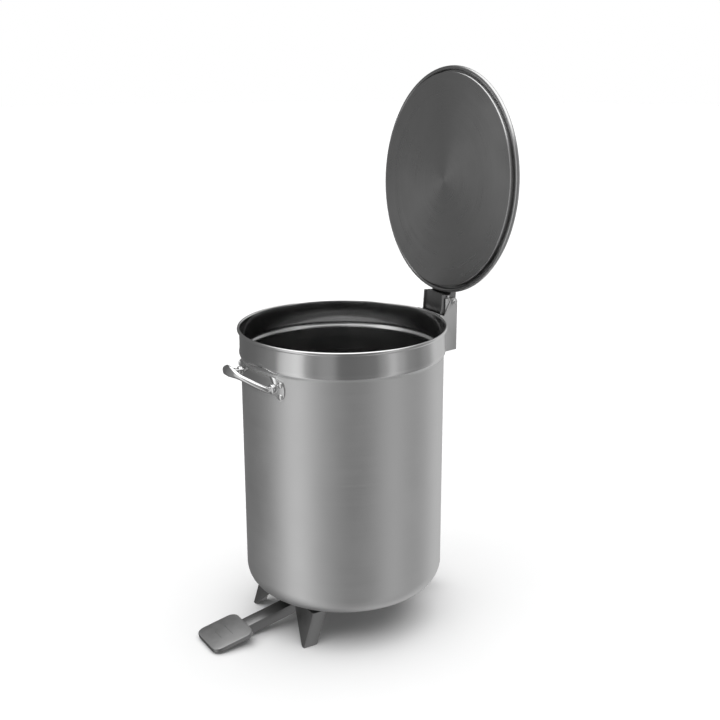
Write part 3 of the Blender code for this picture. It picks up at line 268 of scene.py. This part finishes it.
def plastic(name, colour, rough, coarse, bump):
    """Moulded nylon or rubber: faint colour variation, pitted sheen."""
    made = bpy.data.materials.new(name)
    made.use_nodes = True
    n = Nodes(made.node_tree)
    shader = made.node_tree.nodes["Principled BSDF"]
    place = n.new("ShaderNodeTexCoord").outputs["Object"]
    pits = n.noise(place, coarse, 4.0, 0.6)
    dark = tuple(c * 0.8 for c in colour)
    n.link(n.tint(n.ramp(n.noise(place, 60.0), 0.3, 0.7), dark, colour), shader.inputs["Base Color"])
    n.link(n.ramp(pits, 0.3, 0.7, rough - 0.08, rough + 0.08), shader.inputs["Roughness"])
    relief = n.new("ShaderNodeBump")
    relief.inputs["Strength"].default_value = bump
    relief.inputs["Distance"].default_value = 0.0005
    n.link(pits, relief.inputs["Height"])
    n.link(relief.outputs[0], shader.inputs["Normal"])
    made.diffuse_color = (*colour, 1.0)
    return made


BODY_STEEL = metal("pail_satin_steel", 0.90, 0.46, (2.0, 2.0, 900.0), bump=0.08, wear=0.03, mottle=0.03,
                   polish=(RIM_Z - 0.049, 0.002, 0.15, 0.60), inside=(0.62, 0.14))
LID_STEEL = metal("lid_ring_brushed_steel", 0.46, 0.30, (6.0, 6.0, 800.0), rings=True, aniso=0.75,
                  bump=0.06, wear=0.03, mottle=0.03, turned=0.25)
ACROSS = metal("plate_steel_grain_x", 0.50, 0.34, (6.0, 500.0, 500.0), bump=0.12)
UPRIGHT = metal("plate_steel_grain_z", 0.62, 0.34, (500.0, 500.0, 6.0), bump=0.12)
DARK_Y = metal("frame_steel_grain_y", 0.20, 0.34, (420.0, 5.0, 420.0), bump=0.16, mottle=0.10)
DARK_Z = metal("frame_steel_grain_z", 0.26, 0.36, (420.0, 420.0, 8.0), bump=0.16, mottle=0.10)
PAD_STEEL = metal("pedal_steel", 0.27, 0.42, (90.0, 90.0, 90.0), bump=0.16, mottle=0.10, wear=0.08)
POLISHED = metal("polished_steel", 0.66, 0.12, (60.0, 60.0, 60.0), bump=0.03, wear=0.03)
ROD_STEEL = metal("drawn_bar_steel", 0.52, 0.26, (500.0, 500.0, 5.0), bump=0.10)
NYLON = plastic("natural_nylon", (0.74, 0.73, 0.69), 0.48, 900.0, 0.15)
RUBBER = plastic("black_rubber", (0.030, 0.030, 0.031), 0.72, 1400.0, 0.35)


# Mesh helpers
def show(name, mesh, material, body, replaced, place=None, smooth=32.0):
    """Puts a finished mesh in the scene as a piece that rides on a body."""
    made = bpy.data.objects.new(name, mesh)
    scene.collection.objects.link(made)
    mesh.materials.clear()
    mesh.materials.append(material)
    mesh.shade_smooth()
    mesh.set_sharp_from_angle(angle=math.radians(smooth))
    if place is not None:
        made.matrix_world = place
    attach(made, body)
    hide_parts(*replaced)
    return made


def lathe(profile, steps):
    """A closed body turned about Z from (radius, height) points; a profile may start and end on the axis."""
    form = bmesh.new()
    rings = []
    for radius, height in profile:
        if radius < 1e-7:
            rings.append([form.verts.new((0.0, 0.0, height))])
            continue
        rings.append([form.verts.new((radius * math.cos(a), radius * math.sin(a), height))
                      for a in (2 * math.pi * i / steps for i in range(steps))])
    closed = profile[0][0] > 1e-7
    pairs = list(zip(rings, rings[1:])) + ([(rings[-1], rings[0])] if closed else [])
    for upper, lower in pairs:
        for i in range(steps):
            j = (i + 1) % steps
            corners = [upper[i % len(upper)], upper[j % len(upper)]]
            corners += [lower[j % len(lower)], lower[i % len(lower)]]
            form.faces.new(list(dict.fromkeys(corners)))
    bmesh.ops.recalc_face_normals(form, faces=form.faces)
    mesh = bpy.data.meshes.new("turned")
    form.to_mesh(mesh)
    form.free()
    return mesh


def arc(x, z, radius_x, radius_z, start, end, count):
    """Points of an elliptic arc, angles in degrees."""
    angles = [math.radians(start + (end - start) * i / count) for i in range(count + 1)]
    return [(x + radius_x * math.cos(a), z + radius_z * math.sin(a)) for a in angles]


def evaluated(made):
    """The mesh of a helper object after its modifiers; the helper is removed."""
    bpy.context.view_layer.update()
    mesh = bpy.data.meshes.new_from_object(made.evaluated_get(bpy.context.evaluated_depsgraph_get()))
    bpy.data.objects.remove(made)
    return mesh


def helper(mesh):
    made = bpy.data.objects.new("helper", mesh)
    scene.collection.objects.link(made)
    return made


def rounded(mesh, width, segments=3, angle=28.0):
    """Flat facets merged, then every sharp edge rounded."""
    form = bmesh.new()
    form.from_mesh(mesh)
    bmesh.ops.remove_doubles(form, verts=form.verts, dist=0.00001)
    bmesh.ops.dissolve_limit(form, angle_limit=math.radians(0.6), verts=form.verts, edges=form.edges)
    clean = bpy.data.meshes.new("clean")
    form.to_mesh(clean)
    form.free()
    made = helper(clean)
    bevel = made.modifiers.new("round", "BEVEL")
    bevel.width = width
    bevel.segments = segments
    bevel.limit_method = "ANGLE"
    bevel.angle_limit = math.radians(angle)
    bevel.miter_outer = "MITER_ARC"
    bevel.use_clamp_overlap = True
    return evaluated(made)


def soften(node, material, width, segments=3, angle=28.0):
    """A copy of a CAD node with rounded edges stands for the sharp one."""
    mesh = rounded(nodes[node].data, width, segments, angle)
    return show(node + "_detailed", mesh, material, nodes[node]["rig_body"], [node])


def middle(node):
    low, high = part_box(node)
    return (low + high) / 2


def facing(direction):
    return Vector((0.0, 0.0, 1.0)).rotation_difference(Vector(direction)).to_matrix().to_4x4()


# Camera
camera_data = bpy.data.cameras.new("camera")
camera_data.lens = LENS
camera_data.sensor_width = SENSOR
camera = bpy.data.objects.new("camera", camera_data)
scene.collection.objects.link(camera)
eye = Vector((VIEW_DISTANCE * math.sin(VIEW_AZ), AXIS_Y - VIEW_DISTANCE * math.cos(VIEW_AZ), VIEW_HEIGHT))
level_aim = math.cos(AIM_DOWN)
aim = Vector((-math.sin(AIM_AZ) * level_aim, math.cos(AIM_AZ) * level_aim, -math.sin(AIM_DOWN)))
turn = aim.to_track_quat("-Z", "Y").to_matrix().to_4x4()
camera.matrix_world = Matrix.Translation(eye) @ turn @ Matrix.Rotation(ROLL, 4, "Z")
scene.camera = camera

# Light: a studio whose soft strips stand round the can, and a plain white backdrop for the camera
STRIPS = (
    (-180, 0.15), (-132, 0.16), (-113, 0.18), (-97, 0.23), (-84, 0.30), (-76, 0.31), (-72, 0.71),
    (-61, 0.91), (-50, 1.07), (-44, 0.90), (-40, 0.49), (-30, 0.34), (-21, 0.40), (-12, 0.41),
    (-2, 0.20), (7, 0.20), (35, 0.24), (45, 0.42), (56, 0.72), (66, 0.52), (78, 0.34), (90, 0.30),
    (105, 0.42), (122, 0.78), (145, 0.71), (180, 0.15),
)
TOP_LEVEL = 2.15
TOP_STARTS = 0.62
TOP_FULL = 0.80
world = bpy.data.worlds.new("studio")
scene.world = world
world.use_nodes = True
w = Nodes(world.node_tree)
sky = world.node_tree.nodes["Background"]
direction = w.new("ShaderNodeTexCoord").outputs["Generated"]


def along(vector):
    dot = w.new("ShaderNodeVectorMath", operation="DOT_PRODUCT")
    w.link(direction, dot.inputs[0])
    dot.inputs[1].default_value = vector
    return dot.outputs["Value"]


to_camera = (math.sin(VIEW_AZ), -math.cos(VIEW_AZ), 0.0)
to_right = (math.cos(VIEW_AZ), math.sin(VIEW_AZ), 0.0)
bearing = w.math("ARCTAN2", along(to_right), along(to_camera))
strips = w.new("ShaderNodeValToRGB")
strips.color_ramp.interpolation = "EASE"
points = strips.color_ramp.elements
while len(points) > 1:
    points.remove(points[-1])
points[0].position = 0.0
points[0].color = (*grey(STRIPS[0][1] / 2), 1.0)
for degrees, level in STRIPS[1:]:
    points.new((degrees + 180) / 360).color = (*grey(level / 2), 1.0)
w.link(w.ramp(bearing, -math.pi, math.pi), strips.inputs[0])
level = w.math("MULTIPLY", strips.outputs[0], 2.0)
height = along((0.0, 0.0, 1.0))
above = w.ramp(height, TOP_STARTS, TOP_FULL, smooth=True)
level = w.math("MULTIPLY", level, w.math("SUBTRACT", 1.0, above))
level = w.math("ADD", level, w.math("MULTIPLY", above, TOP_LEVEL))
seen = w.new("ShaderNodeLightPath").outputs["Is Camera Ray"]
level = w.math("ADD", w.math("MULTIPLY", level, w.math("SUBTRACT", 1.0, seen)), seen)
w.link(level, sky.inputs["Strength"])
sky.inputs["Color"].default_value = (1.0, 1.0, 1.0, 1.0)

# Floor
FLOOR_R = 14.0
floor_mesh = lathe([(0.0, 0.0), (FLOOR_R, 0.0), (FLOOR_R, -0.02), (0.0, -0.02)], 96)
floor_material = bpy.data.materials.new("pale_floor")
floor_material.use_nodes = True
f = Nodes(floor_material.node_tree)
f_shader = floor_material.node_tree.nodes["Principled BSDF"]
cloud = f.noise(f.new("ShaderNodeTexCoord").outputs["Object"], 3.0, 2.0)
f.link(f.tint(cloud, grey(0.88), grey(0.90)), f_shader.inputs["Base Color"])
f_shader.inputs["Roughness"].default_value = 0.9
f_shader.inputs["Specular IOR Level"].default_value = 0.1
floor_mesh.materials.append(floor_material)
floor = bpy.data.objects.new("floor", floor_mesh)
floor.location.z = -0.0002
floor.visible_glossy = False
scene.collection.objects.link(floor)


# Pail
def pail_side(offset):
    step_z = RIM_Z - COLLAR_H
    bulge = COLLAR_R + STEP_BULGE
    side = arc(BODY_R - CORNER_R, BASE_Z + CORNER_R, CORNER_R - offset, CORNER_R - offset, -90, 0, 18)
    side += [(BODY_R - offset, z) for z in (BASE_Z + 0.10, BASE_Z + 0.20, BASE_Z + 0.30, step_z - STEP_H)]
    for i in range(1, 9):
        t = i / 9
        out = (bulge - BODY_R) * (3 * t * t - 2 * t ** 3)
        side.append((BODY_R + out - offset, step_z - STEP_H * (1 - 0.55 * t)))
    side += [(bulge - offset, step_z - 0.42 * STEP_H), (bulge - offset, step_z - 0.28 * STEP_H),
             (bulge - 0.0003 - offset, step_z - 0.14 * STEP_H),
             (COLLAR_R + 0.0003 - offset, step_z - 0.05 * STEP_H),
             (COLLAR_R - offset, step_z)]
    return side


def make_pail():
    bead_in = COLLAR_R - WALL
    bead_x = (RIM_R + bead_in) / 2
    bead_z = RIM_Z - RIM_BEAD_H / 2
    bead = arc(bead_x, bead_z, (RIM_R - bead_in) / 2, RIM_BEAD_H / 2, 180, -64, 20)
    under_bead = (COLLAR_R, bead_z - RIM_BEAD_H / 2 - 0.0002)
    profile = [(0.0, BASE_Z + WALL)] + pail_side(WALL) + bead + [under_bead]
    profile += pail_side(0.0)[::-1] + [(0.0, BASE_Z)]
    show("pail", lathe(profile, PAIL_STEPS), BODY_STEEL, "can", ["can_body"],
         Matrix.Translation((0, AXIS_Y, 0)), 40.0)


make_pail()

# Lid, in its own frame: Z is the lid's axis when it is shut
LID_PLACE = (Matrix.Translation(PIN) @ Matrix.Rotation(-LID_OPEN, 4, "X")
             @ Matrix.Translation((0, AXIS_Y - PIN.y, RIM_Z + LID_RING_RISE - PIN.z)))


def make_lid():
    bead_x = LID_R - LID_BEAD_R
    sheet_low = LID_BEAD_R - LID_SHEET
    join = bead_x - math.sqrt(LID_BEAD_R ** 2 - sheet_low ** 2)
    shell = [(0.0, LID_BEAD_R)] + arc(bead_x, 0.0, LID_BEAD_R, LID_BEAD_R, 90, -180, 24)
    shell += [(join, sheet_low), (0.0, sheet_low)]
    show("lid_outer_shell", lathe(shell, LID_STEPS), LID_STEEL, "lid", ["lid_shell"],
         LID_PLACE, 60.0)
    lip_top = sheet_low - 0.0003
    lip_low = lip_top - PAN_SHEET
    floor_z = -PAN_DROP + PAN_SHEET
    inner = PAN_CORNER - PAN_SHEET
    pan = [(0.0, floor_z)]
    pan += arc(PAN_R - PAN_CORNER, floor_z + inner, inner, inner, -90, 0, 6)
    lip_r = PAN_R + PAN_LIP
    pan += [(PAN_R - PAN_SHEET, lip_top), (lip_r, lip_top), (lip_r, lip_low), (PAN_R, lip_low)]
    pan += arc(PAN_R - PAN_CORNER, -PAN_DROP + PAN_CORNER, PAN_CORNER, PAN_CORNER, 0, -90, 10)
    pan += [(PAN_R * 0.5, -PAN_DROP), (0.0, -PAN_DROP)]
    show("lid_inner_disc", lathe(pan, LID_STEPS), LID_STEEL, "lid", ["lid_inner_pan"],
         LID_PLACE, 60.0)


make_lid()


# Handle
PLATE_R = BODY_R + 0.0003
PLATE_T = 0.002
ROD_R = 0.0052
LEAF_W = 0.0090
LEAF_T = 0.0032
LEAF_HALF = 0.034
BOSS_R = 0.0088
BOSS_T = 0.0070
BOSS_FLANGE = 0.0010
BOSS_DEPTH = 0.0090
BOSS_SINK = 0.0012
BOSS_LEAN = 2.2
bail_low, bail_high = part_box("handle_bail")
boss_low, boss_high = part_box("handle_boss_right")
BOSS_X = (boss_low.x + boss_high.x) / 2
BOSS_Z = (boss_low.z + boss_high.z) / 2
FACE_Y = -math.sqrt((PLATE_R + PLATE_T) ** 2 - BOSS_X ** 2)
HANDLE_STUB = 0.0095
HANDLE_RISE = bail_high.z - ROD_R - BOSS_Z
HANDLE_REACH = AXIS_Y - bail_low.y - ROD_R
BAIL_POINTS = 28
BAIL_STEPS = 28


def bail_line():
    """Middle line of the bail, the same curve as the CAD piece, from left boss to right boss."""
    start = Vector((BOSS_X, FACE_Y - HANDLE_STUB, BOSS_Z))
    knee = start + Vector((0.0, -HANDLE_STUB * 1.25, HANDLE_RISE * 0.16))
    top = Vector((0.0, -HANDLE_REACH, BOSS_Z + HANDLE_RISE))
    shoulder = top + Vector((BOSS_X * 0.43, 0.001, -0.001))
    half = [Vector((BOSS_X, FACE_Y + 0.001, BOSS_Z)), Vector((BOSS_X, FACE_Y - HANDLE_STUB * 0.5, BOSS_Z))]
    for i in range(BAIL_POINTS + 1):
        t = i / BAIL_POINTS
        weights = ((1 - t) ** 3, 3 * t * (1 - t) ** 2, 3 * t * t * (1 - t), t ** 3)
        half.append(sum((k * p for k, p in zip(weights, (start, knee, shoulder, top))), Vector()))
    return [Vector((-p.x, p.y, p.z)) for p in half[:-1]] + half[::-1]


def make_bail():
    """A round bar forged flat in the middle: the leaf stands square to the bail's plane."""
    line = bail_line()
    form = bmesh.new()
    plane = Vector((0.0, HANDLE_REACH + FACE_Y, -HANDLE_RISE)).normalized()
    normal = Vector((1.0, 0.0, 0.0)).cross(plane)
    normal = normal if normal.z > 0 else -normal
    rings = []
    for index, point in enumerate(line):
        before = line[max(index - 1, 0)]
        after = line[min(index + 1, len(line) - 1)]
        ahead = (after - before).normalized()
        wide = (normal - ahead * normal.dot(ahead)).normalized()
        thin = ahead.cross(wide)
        t = max(0.0, 1.0 - abs(point.x) / LEAF_HALF)
        t = t * t * (3 - 2 * t)
        t = min(1.0, t * 1.25)
        a = ROD_R + (LEAF_W - ROD_R) * t
        b = ROD_R + (LEAF_T - ROD_R) * t
        ring = []
        for k in range(BAIL_STEPS):
            angle = 2 * math.pi * k / BAIL_STEPS
            ring.append(form.verts.new(point + wide * a * math.cos(angle) + thin * b * math.sin(angle)))
        rings.append(ring)
    for one, two in zip(rings, rings[1:]):
        for k in range(BAIL_STEPS):
            following = (k + 1) % BAIL_STEPS
            form.faces.new((one[k], one[following], two[following], two[k]))
    form.faces.new(rings[0][::-1])
    form.faces.new(rings[-1])
    bmesh.ops.recalc_face_normals(form, faces=form.faces)
    mesh = bpy.data.meshes.new("bail")
    form.to_mesh(mesh)
    form.free()
    show("handle_grip", mesh, POLISHED, "can", ["handle_bail"],
         Matrix.Translation((0, AXIS_Y, 0)), 60.0)


make_bail()
boss_profile = [(0.0, 0.0004), (ROD_R + 0.0004, 0.0004), (BOSS_R - 0.0026, 0.0), (BOSS_R - 0.0012, -0.0005),
                (BOSS_R - 0.0003, -0.0013), (BOSS_R, -0.0026), (BOSS_R, -0.0068),
                (BOSS_R + BOSS_FLANGE, -0.0076), (BOSS_R + BOSS_FLANGE, -BOSS_DEPTH), (0.0, -BOSS_DEPTH)]
for side_name, side in (("left", -1), ("right", 1)):
    outward = Vector((side * BOSS_X, FACE_Y * BOSS_LEAN, 0.0)).normalized()
    boss_y = AXIS_Y + FACE_Y - BOSS_T + BOSS_SINK
    spot = Matrix.Translation((side * BOSS_X, boss_y, BOSS_Z)) @ facing(outward)
    show(f"handle_boss_{side_name}_detailed", lathe(boss_profile, 40), POLISHED, "can",
         [f"handle_boss_{side_name}"], spot, 40.0)


def make_backplate():
    """A plate with ears like the CAD plate's, bent round a smooth cylinder."""
    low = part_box("handle_backplate")[0]
    flat = bmesh.new()
    flat.from_mesh(nodes["handle_backplate"].data)
    rim = [v.co.copy() for v in flat.verts]
    flat.free()
    reach = PLATE_R + PLATE_T
    outer = [v for v in rim if math.hypot(v.x, v.y - AXIS_Y) > reach - 0.0007]
    left = min(v.x for v in outer)
    right = max(v.x for v in outer)
    step = 0.0006
    count = int((right - left) / step)
    band_half_w = 0.03
    band_z = [v.z for v in outer if abs(v.x) < band_half_w]
    band_low, band_high = min(band_z), max(band_z)
    ear_x = 0.0785
    ear_half_w = 0.0095
    ear_h = 0.037
    neck_x = 0.068
    ear_low = low.z
    ear_high = ear_low + ear_h
    ear_mid = (ear_low + ear_high) / 2

    def span(x):
        """Lowest and highest point of the plate at a place across it."""
        a = abs(x)
        bottom, top = band_low, band_high
        if a > neck_x:
            k = min(1.0, abs(a - ear_x) / ear_half_w)
            half = (ear_high - ear_mid) * math.sqrt(max(0.0, 1 - k * k))
            ear_bottom, ear_top = ear_mid - half, ear_mid + half
            if a > ear_x:
                bottom, top = ear_bottom, ear_top
            else:
                t = min(1.0, (a - neck_x) / (ear_x - neck_x))
                t = t * t * (3 - 2 * t)
                bottom = band_low + (ear_low - band_low) * t
                top = band_high + (ear_high - band_high) * t
        return bottom, top

    form = bmesh.new()
    columns = []
    rows = 10
    tip_h = 0.0008
    for i in range(count + 1):
        x = left + (right - left) * i / count
        bottom, top = span(x)
        top = max(top, bottom + tip_h)
        angle = math.asin(max(-1.0, min(1.0, x / reach)))
        column = []
        for radius in (PLATE_R, reach):
            column.append([form.verts.new((radius * math.sin(angle), AXIS_Y - radius * math.cos(angle),
                                           bottom + (top - bottom) * j / rows)) for j in range(rows + 1)])
        columns.append(column)
    for (in_a, out_a), (in_b, out_b) in zip(columns, columns[1:]):
        for j in range(rows):
            form.faces.new((in_a[j], in_a[j + 1], in_b[j + 1], in_b[j]))
            form.faces.new((out_a[j + 1], out_a[j], out_b[j], out_b[j + 1]))
        form.faces.new((in_a[0], in_b[0], out_b[0], out_a[0]))
        form.faces.new((in_a[-1], out_a[-1], out_b[-1], in_b[-1]))
    for inner, outer_side in (columns[0], columns[-1]):
        for j in range(rows):
            form.faces.new((inner[j], inner[j + 1], outer_side[j + 1], outer_side[j]))
    bmesh.ops.recalc_face_normals(form, faces=form.faces)
    mesh = bpy.data.meshes.new("backplate")
    form.to_mesh(mesh)
    form.free()
    show("handle_plate", mesh, POLISHED, "can", ["handle_backplate"], None, 40.0)


make_backplate()


# Rivets: a domed head, a shank and a formed head, turned smooth
def dome(node, direction, radius, height, shank, formed=True):
    """Stands for a rivet whose head faces a direction, with a formed foot or none."""
    low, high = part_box(node)
    centre = (low + high) / 2
    away = Vector(direction).normalized()
    reach = max((v.co - centre).dot(away) for v in nodes[node].data.vertices)
    bottom = min((v.co - centre).dot(away) for v in nodes[node].data.vertices)
    base = reach - height
    head = arc(0.0, base, radius, height, 90, 0, 10)
    tail_r = radius * 0.8
    tail = bottom + height * 0.55
    foot = [(shank, tail), (tail_r, tail), (tail_r * 0.9, bottom)] if formed else [(shank, bottom)]
    profile = head + [(shank, base)] + foot + [(0.0, bottom)]
    profile[0] = (0.0, base + height)
    show(node + "_detailed", lathe(profile, 32), POLISHED, nodes[node]["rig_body"], [node],
         Matrix.Translation(centre) @ facing(away), 40.0)


RIVET_HEAD_R = 0.0056
RIVET_HEAD_T = 0.0022
RIVET_R = 0.0030
for side_name in ("left", "right"):
    for level_name in ("upper", "lower"):
        name = f"handle_rivet_{side_name}_{level_name}"
        spot = middle(name)
        dome(name, (spot.x, spot.y - AXIS_Y, 0.0), RIVET_HEAD_R, RIVET_HEAD_T, RIVET_R)
        name = f"bracket_rivet_{level_name}_{side_name}"
        dome(name, (0, 1, 0), RIVET_HEAD_R, RIVET_HEAD_T, RIVET_R, False)
for level_name in ("upper", "lower"):
    dome(f"guide_rivet_{level_name}", (0, 1, 0), RIVET_HEAD_R, RIVET_HEAD_T, RIVET_R)
lid_up = LID_PLACE.to_3x3() @ Vector((0, 0, 1))
for row_name in ("rear", "front"):
    for side_name in ("left", "right"):
        dome(f"strap_rivet_{row_name}_{side_name}", lid_up, RIVET_HEAD_R, RIVET_HEAD_T, RIVET_R)


# Hinge pin: a domed head on its right end, and a chamfer on its left end
PIN_HEAD_H = 0.0044
PIN_HEAD_R = 0.0062
PIN_BRIM_H = 0.0022
PIN_DOME_R = 0.0046
PIN_SHANK_R = 0.0040
PIN_CHAMFER = 0.0008
PIN_STEPS = 36


def make_hinge_pin():
    low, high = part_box("hinge_pin")
    cheek = high.x - PIN_HEAD_H
    dome_x = cheek + PIN_BRIM_H
    profile = [(0.0, high.x)]
    for degrees in range(12, 91, 13):
        angle = math.radians(degrees)
        profile.append((PIN_DOME_R * math.sin(angle), dome_x + (high.x - dome_x) * math.cos(angle)))
    profile += [(PIN_HEAD_R - 0.0006, dome_x), (PIN_HEAD_R, dome_x - 0.0004)]
    profile += [(PIN_HEAD_R, cheek + 0.0002), (PIN_HEAD_R - 0.0004, cheek)]
    profile += [(PIN_SHANK_R, cheek), (PIN_SHANK_R, low.x + PIN_CHAMFER)]
    profile += [(PIN_SHANK_R - PIN_CHAMFER, low.x), (0.0, low.x)]
    show("hinge_pin_detailed", lathe(profile, PIN_STEPS), POLISHED, "can", ["hinge_pin"],
         Matrix.Translation((0.0, PIN.y, PIN.z)) @ Matrix.Rotation(math.pi / 2, 4, "Y"), 40.0)


make_hinge_pin()


def bar(node, axis, material, bevel=0.0006):
    """A smooth round bar in place of a faceted one, along X or Z."""
    low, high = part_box(node)
    spot = (low + high) / 2
    index = "XYZ".index(axis)
    half = (high[index] - low[index]) / 2
    radius = (high.y - low.y) / 2
    profile = [(0.0, half), (radius - bevel, half), (radius, half - bevel), (radius, -half + bevel),
               (radius - bevel, -half), (0.0, -half)]
    turned = Matrix.Rotation(math.pi / 2, 4, "Y") if axis == "X" else Matrix.Identity(4)
    show(node + "_detailed", lathe(profile, 40), material, nodes[node]["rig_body"], [node],
         Matrix.Translation(spot) @ turned, 40.0)


bar("push_rod", "Z", ROD_STEEL)
bar("lift_pin", "X", POLISHED)

# Everything else keeps its CAD shape and gets rounded edges
SOFTENED = (
    ("base_plate", DARK_Y, "dark_steel", 0.0006),
    ("foot_front_left", DARK_Z, "dark_steel", 0.0008),
    ("foot_front_right", DARK_Z, "dark_steel", 0.0008),
    ("rear_foot", DARK_Z, "dark_steel", 0.0008),
    ("foot_bolt_front_left", POLISHED, "polished_steel", 0.0004),
    ("foot_bolt_front_right", POLISHED, "polished_steel", 0.0004),
    ("foot_bolt_rear_left", POLISHED, "polished_steel", 0.0004),
    ("foot_bolt_rear_right", POLISHED, "polished_steel", 0.0004),
    ("hinge_bracket", UPRIGHT, "bracket_steel", 0.0005),
    ("bracket_spacer_upper", ACROSS, "bracket_steel", 0.0004),
    ("bracket_spacer_lower", ACROSS, "bracket_steel", 0.0004),
    ("stop_bumper", RUBBER, "rubber", 0.0006),
    ("hinge_pin_collar", POLISHED, "polished_steel", 0.0003),
    ("hinge_spacer_left", NYLON, "nylon", 0.0003),
    ("hinge_spacer_right", NYLON, "nylon", 0.0003),
    ("upper_guide", ACROSS, "bracket_steel", 0.0004),
    ("upper_bush", NYLON, "nylon", 0.0003),
    ("lower_guide", ACROSS, "bracket_steel", 0.0005),
    ("lower_bush", NYLON, "nylon", 0.0003),
    ("pivot_lug_left", DARK_Z, "dark_steel", 0.0004),
    ("pivot_lug_right", DARK_Z, "dark_steel", 0.0004),
    ("pivot_pin", POLISHED, "polished_steel", 0.0004),
    ("pivot_collar", POLISHED, "polished_steel", 0.0003),
    ("lid_arm", DARK_Z, "dark_steel", 0.0005),
    ("lid_strap", UPRIGHT, "bracket_steel", 0.0005),
    ("rod_fork", ROD_STEEL, "rod_steel", 0.0005),
    ("rod_clevis", ROD_STEEL, "rod_steel", 0.0006),
    ("fork_lock_nut", POLISHED, "polished_steel", 0.0004),
    ("clevis_lock_nut", POLISHED, "polished_steel", 0.0004),
    ("clevis_pin", POLISHED, "polished_steel", 0.0003),
    ("pedal_arm", DARK_Y, "dark_steel", 0.0009),
    ("rear_lever", DARK_Y, "dark_steel", 0.0006),
    ("pedal_pad", PAD_STEEL, "dark_steel", 0.0009),
)
for node, material, slot_name, width in SOFTENED:
    soften(node, material, width)

# Two short creases across the pad, as dark slivers of painted shade (the shade that falls in the creases)
# that stand 0.3 mm out of its sheet
CREASE_SHADE_W = 0.0007
CREASE_SHADE_T = 0.0004
CREASE_SHADE_LIFT = 0.0001
pad = nodes["pedal_pad"]
pad_turn = pad.matrix_world.to_3x3()
pad_top = max(pad.data.polygons, key=lambda face: face.area * max(0.0, (pad_turn @ face.normal).z))
pad_normal = (pad_turn @ pad_top.normal).normalized()
pad_point = pad.matrix_world @ pad_top.center
for mark_name, ahead, half in (("rear", 0.2545, 0.018), ("front", 0.2760, 0.013)):
    y = AXIS_Y - ahead
    z = pad_point.z - pad_normal.y / pad_normal.z * (y - pad_point.y)
    crease_shade = bmesh.new()
    bmesh.ops.create_cube(crease_shade, size=1.0)
    mesh = bpy.data.meshes.new("crease_shade")
    crease_shade.to_mesh(mesh)
    crease_shade.free()
    mesh.transform(Matrix.Diagonal((half * 2, CREASE_SHADE_W, CREASE_SHADE_T, 1.0)))
    place = Matrix.Translation(Vector((0.0, y, z)) + pad_normal * CREASE_SHADE_LIFT) @ facing(pad_normal)
    # The sliver's dark steel is painted shade of the crease, not a colour of the pad
    show(f"pedal_crease_shade_{mark_name}", mesh, DARK_Y, "pedal", [], place)
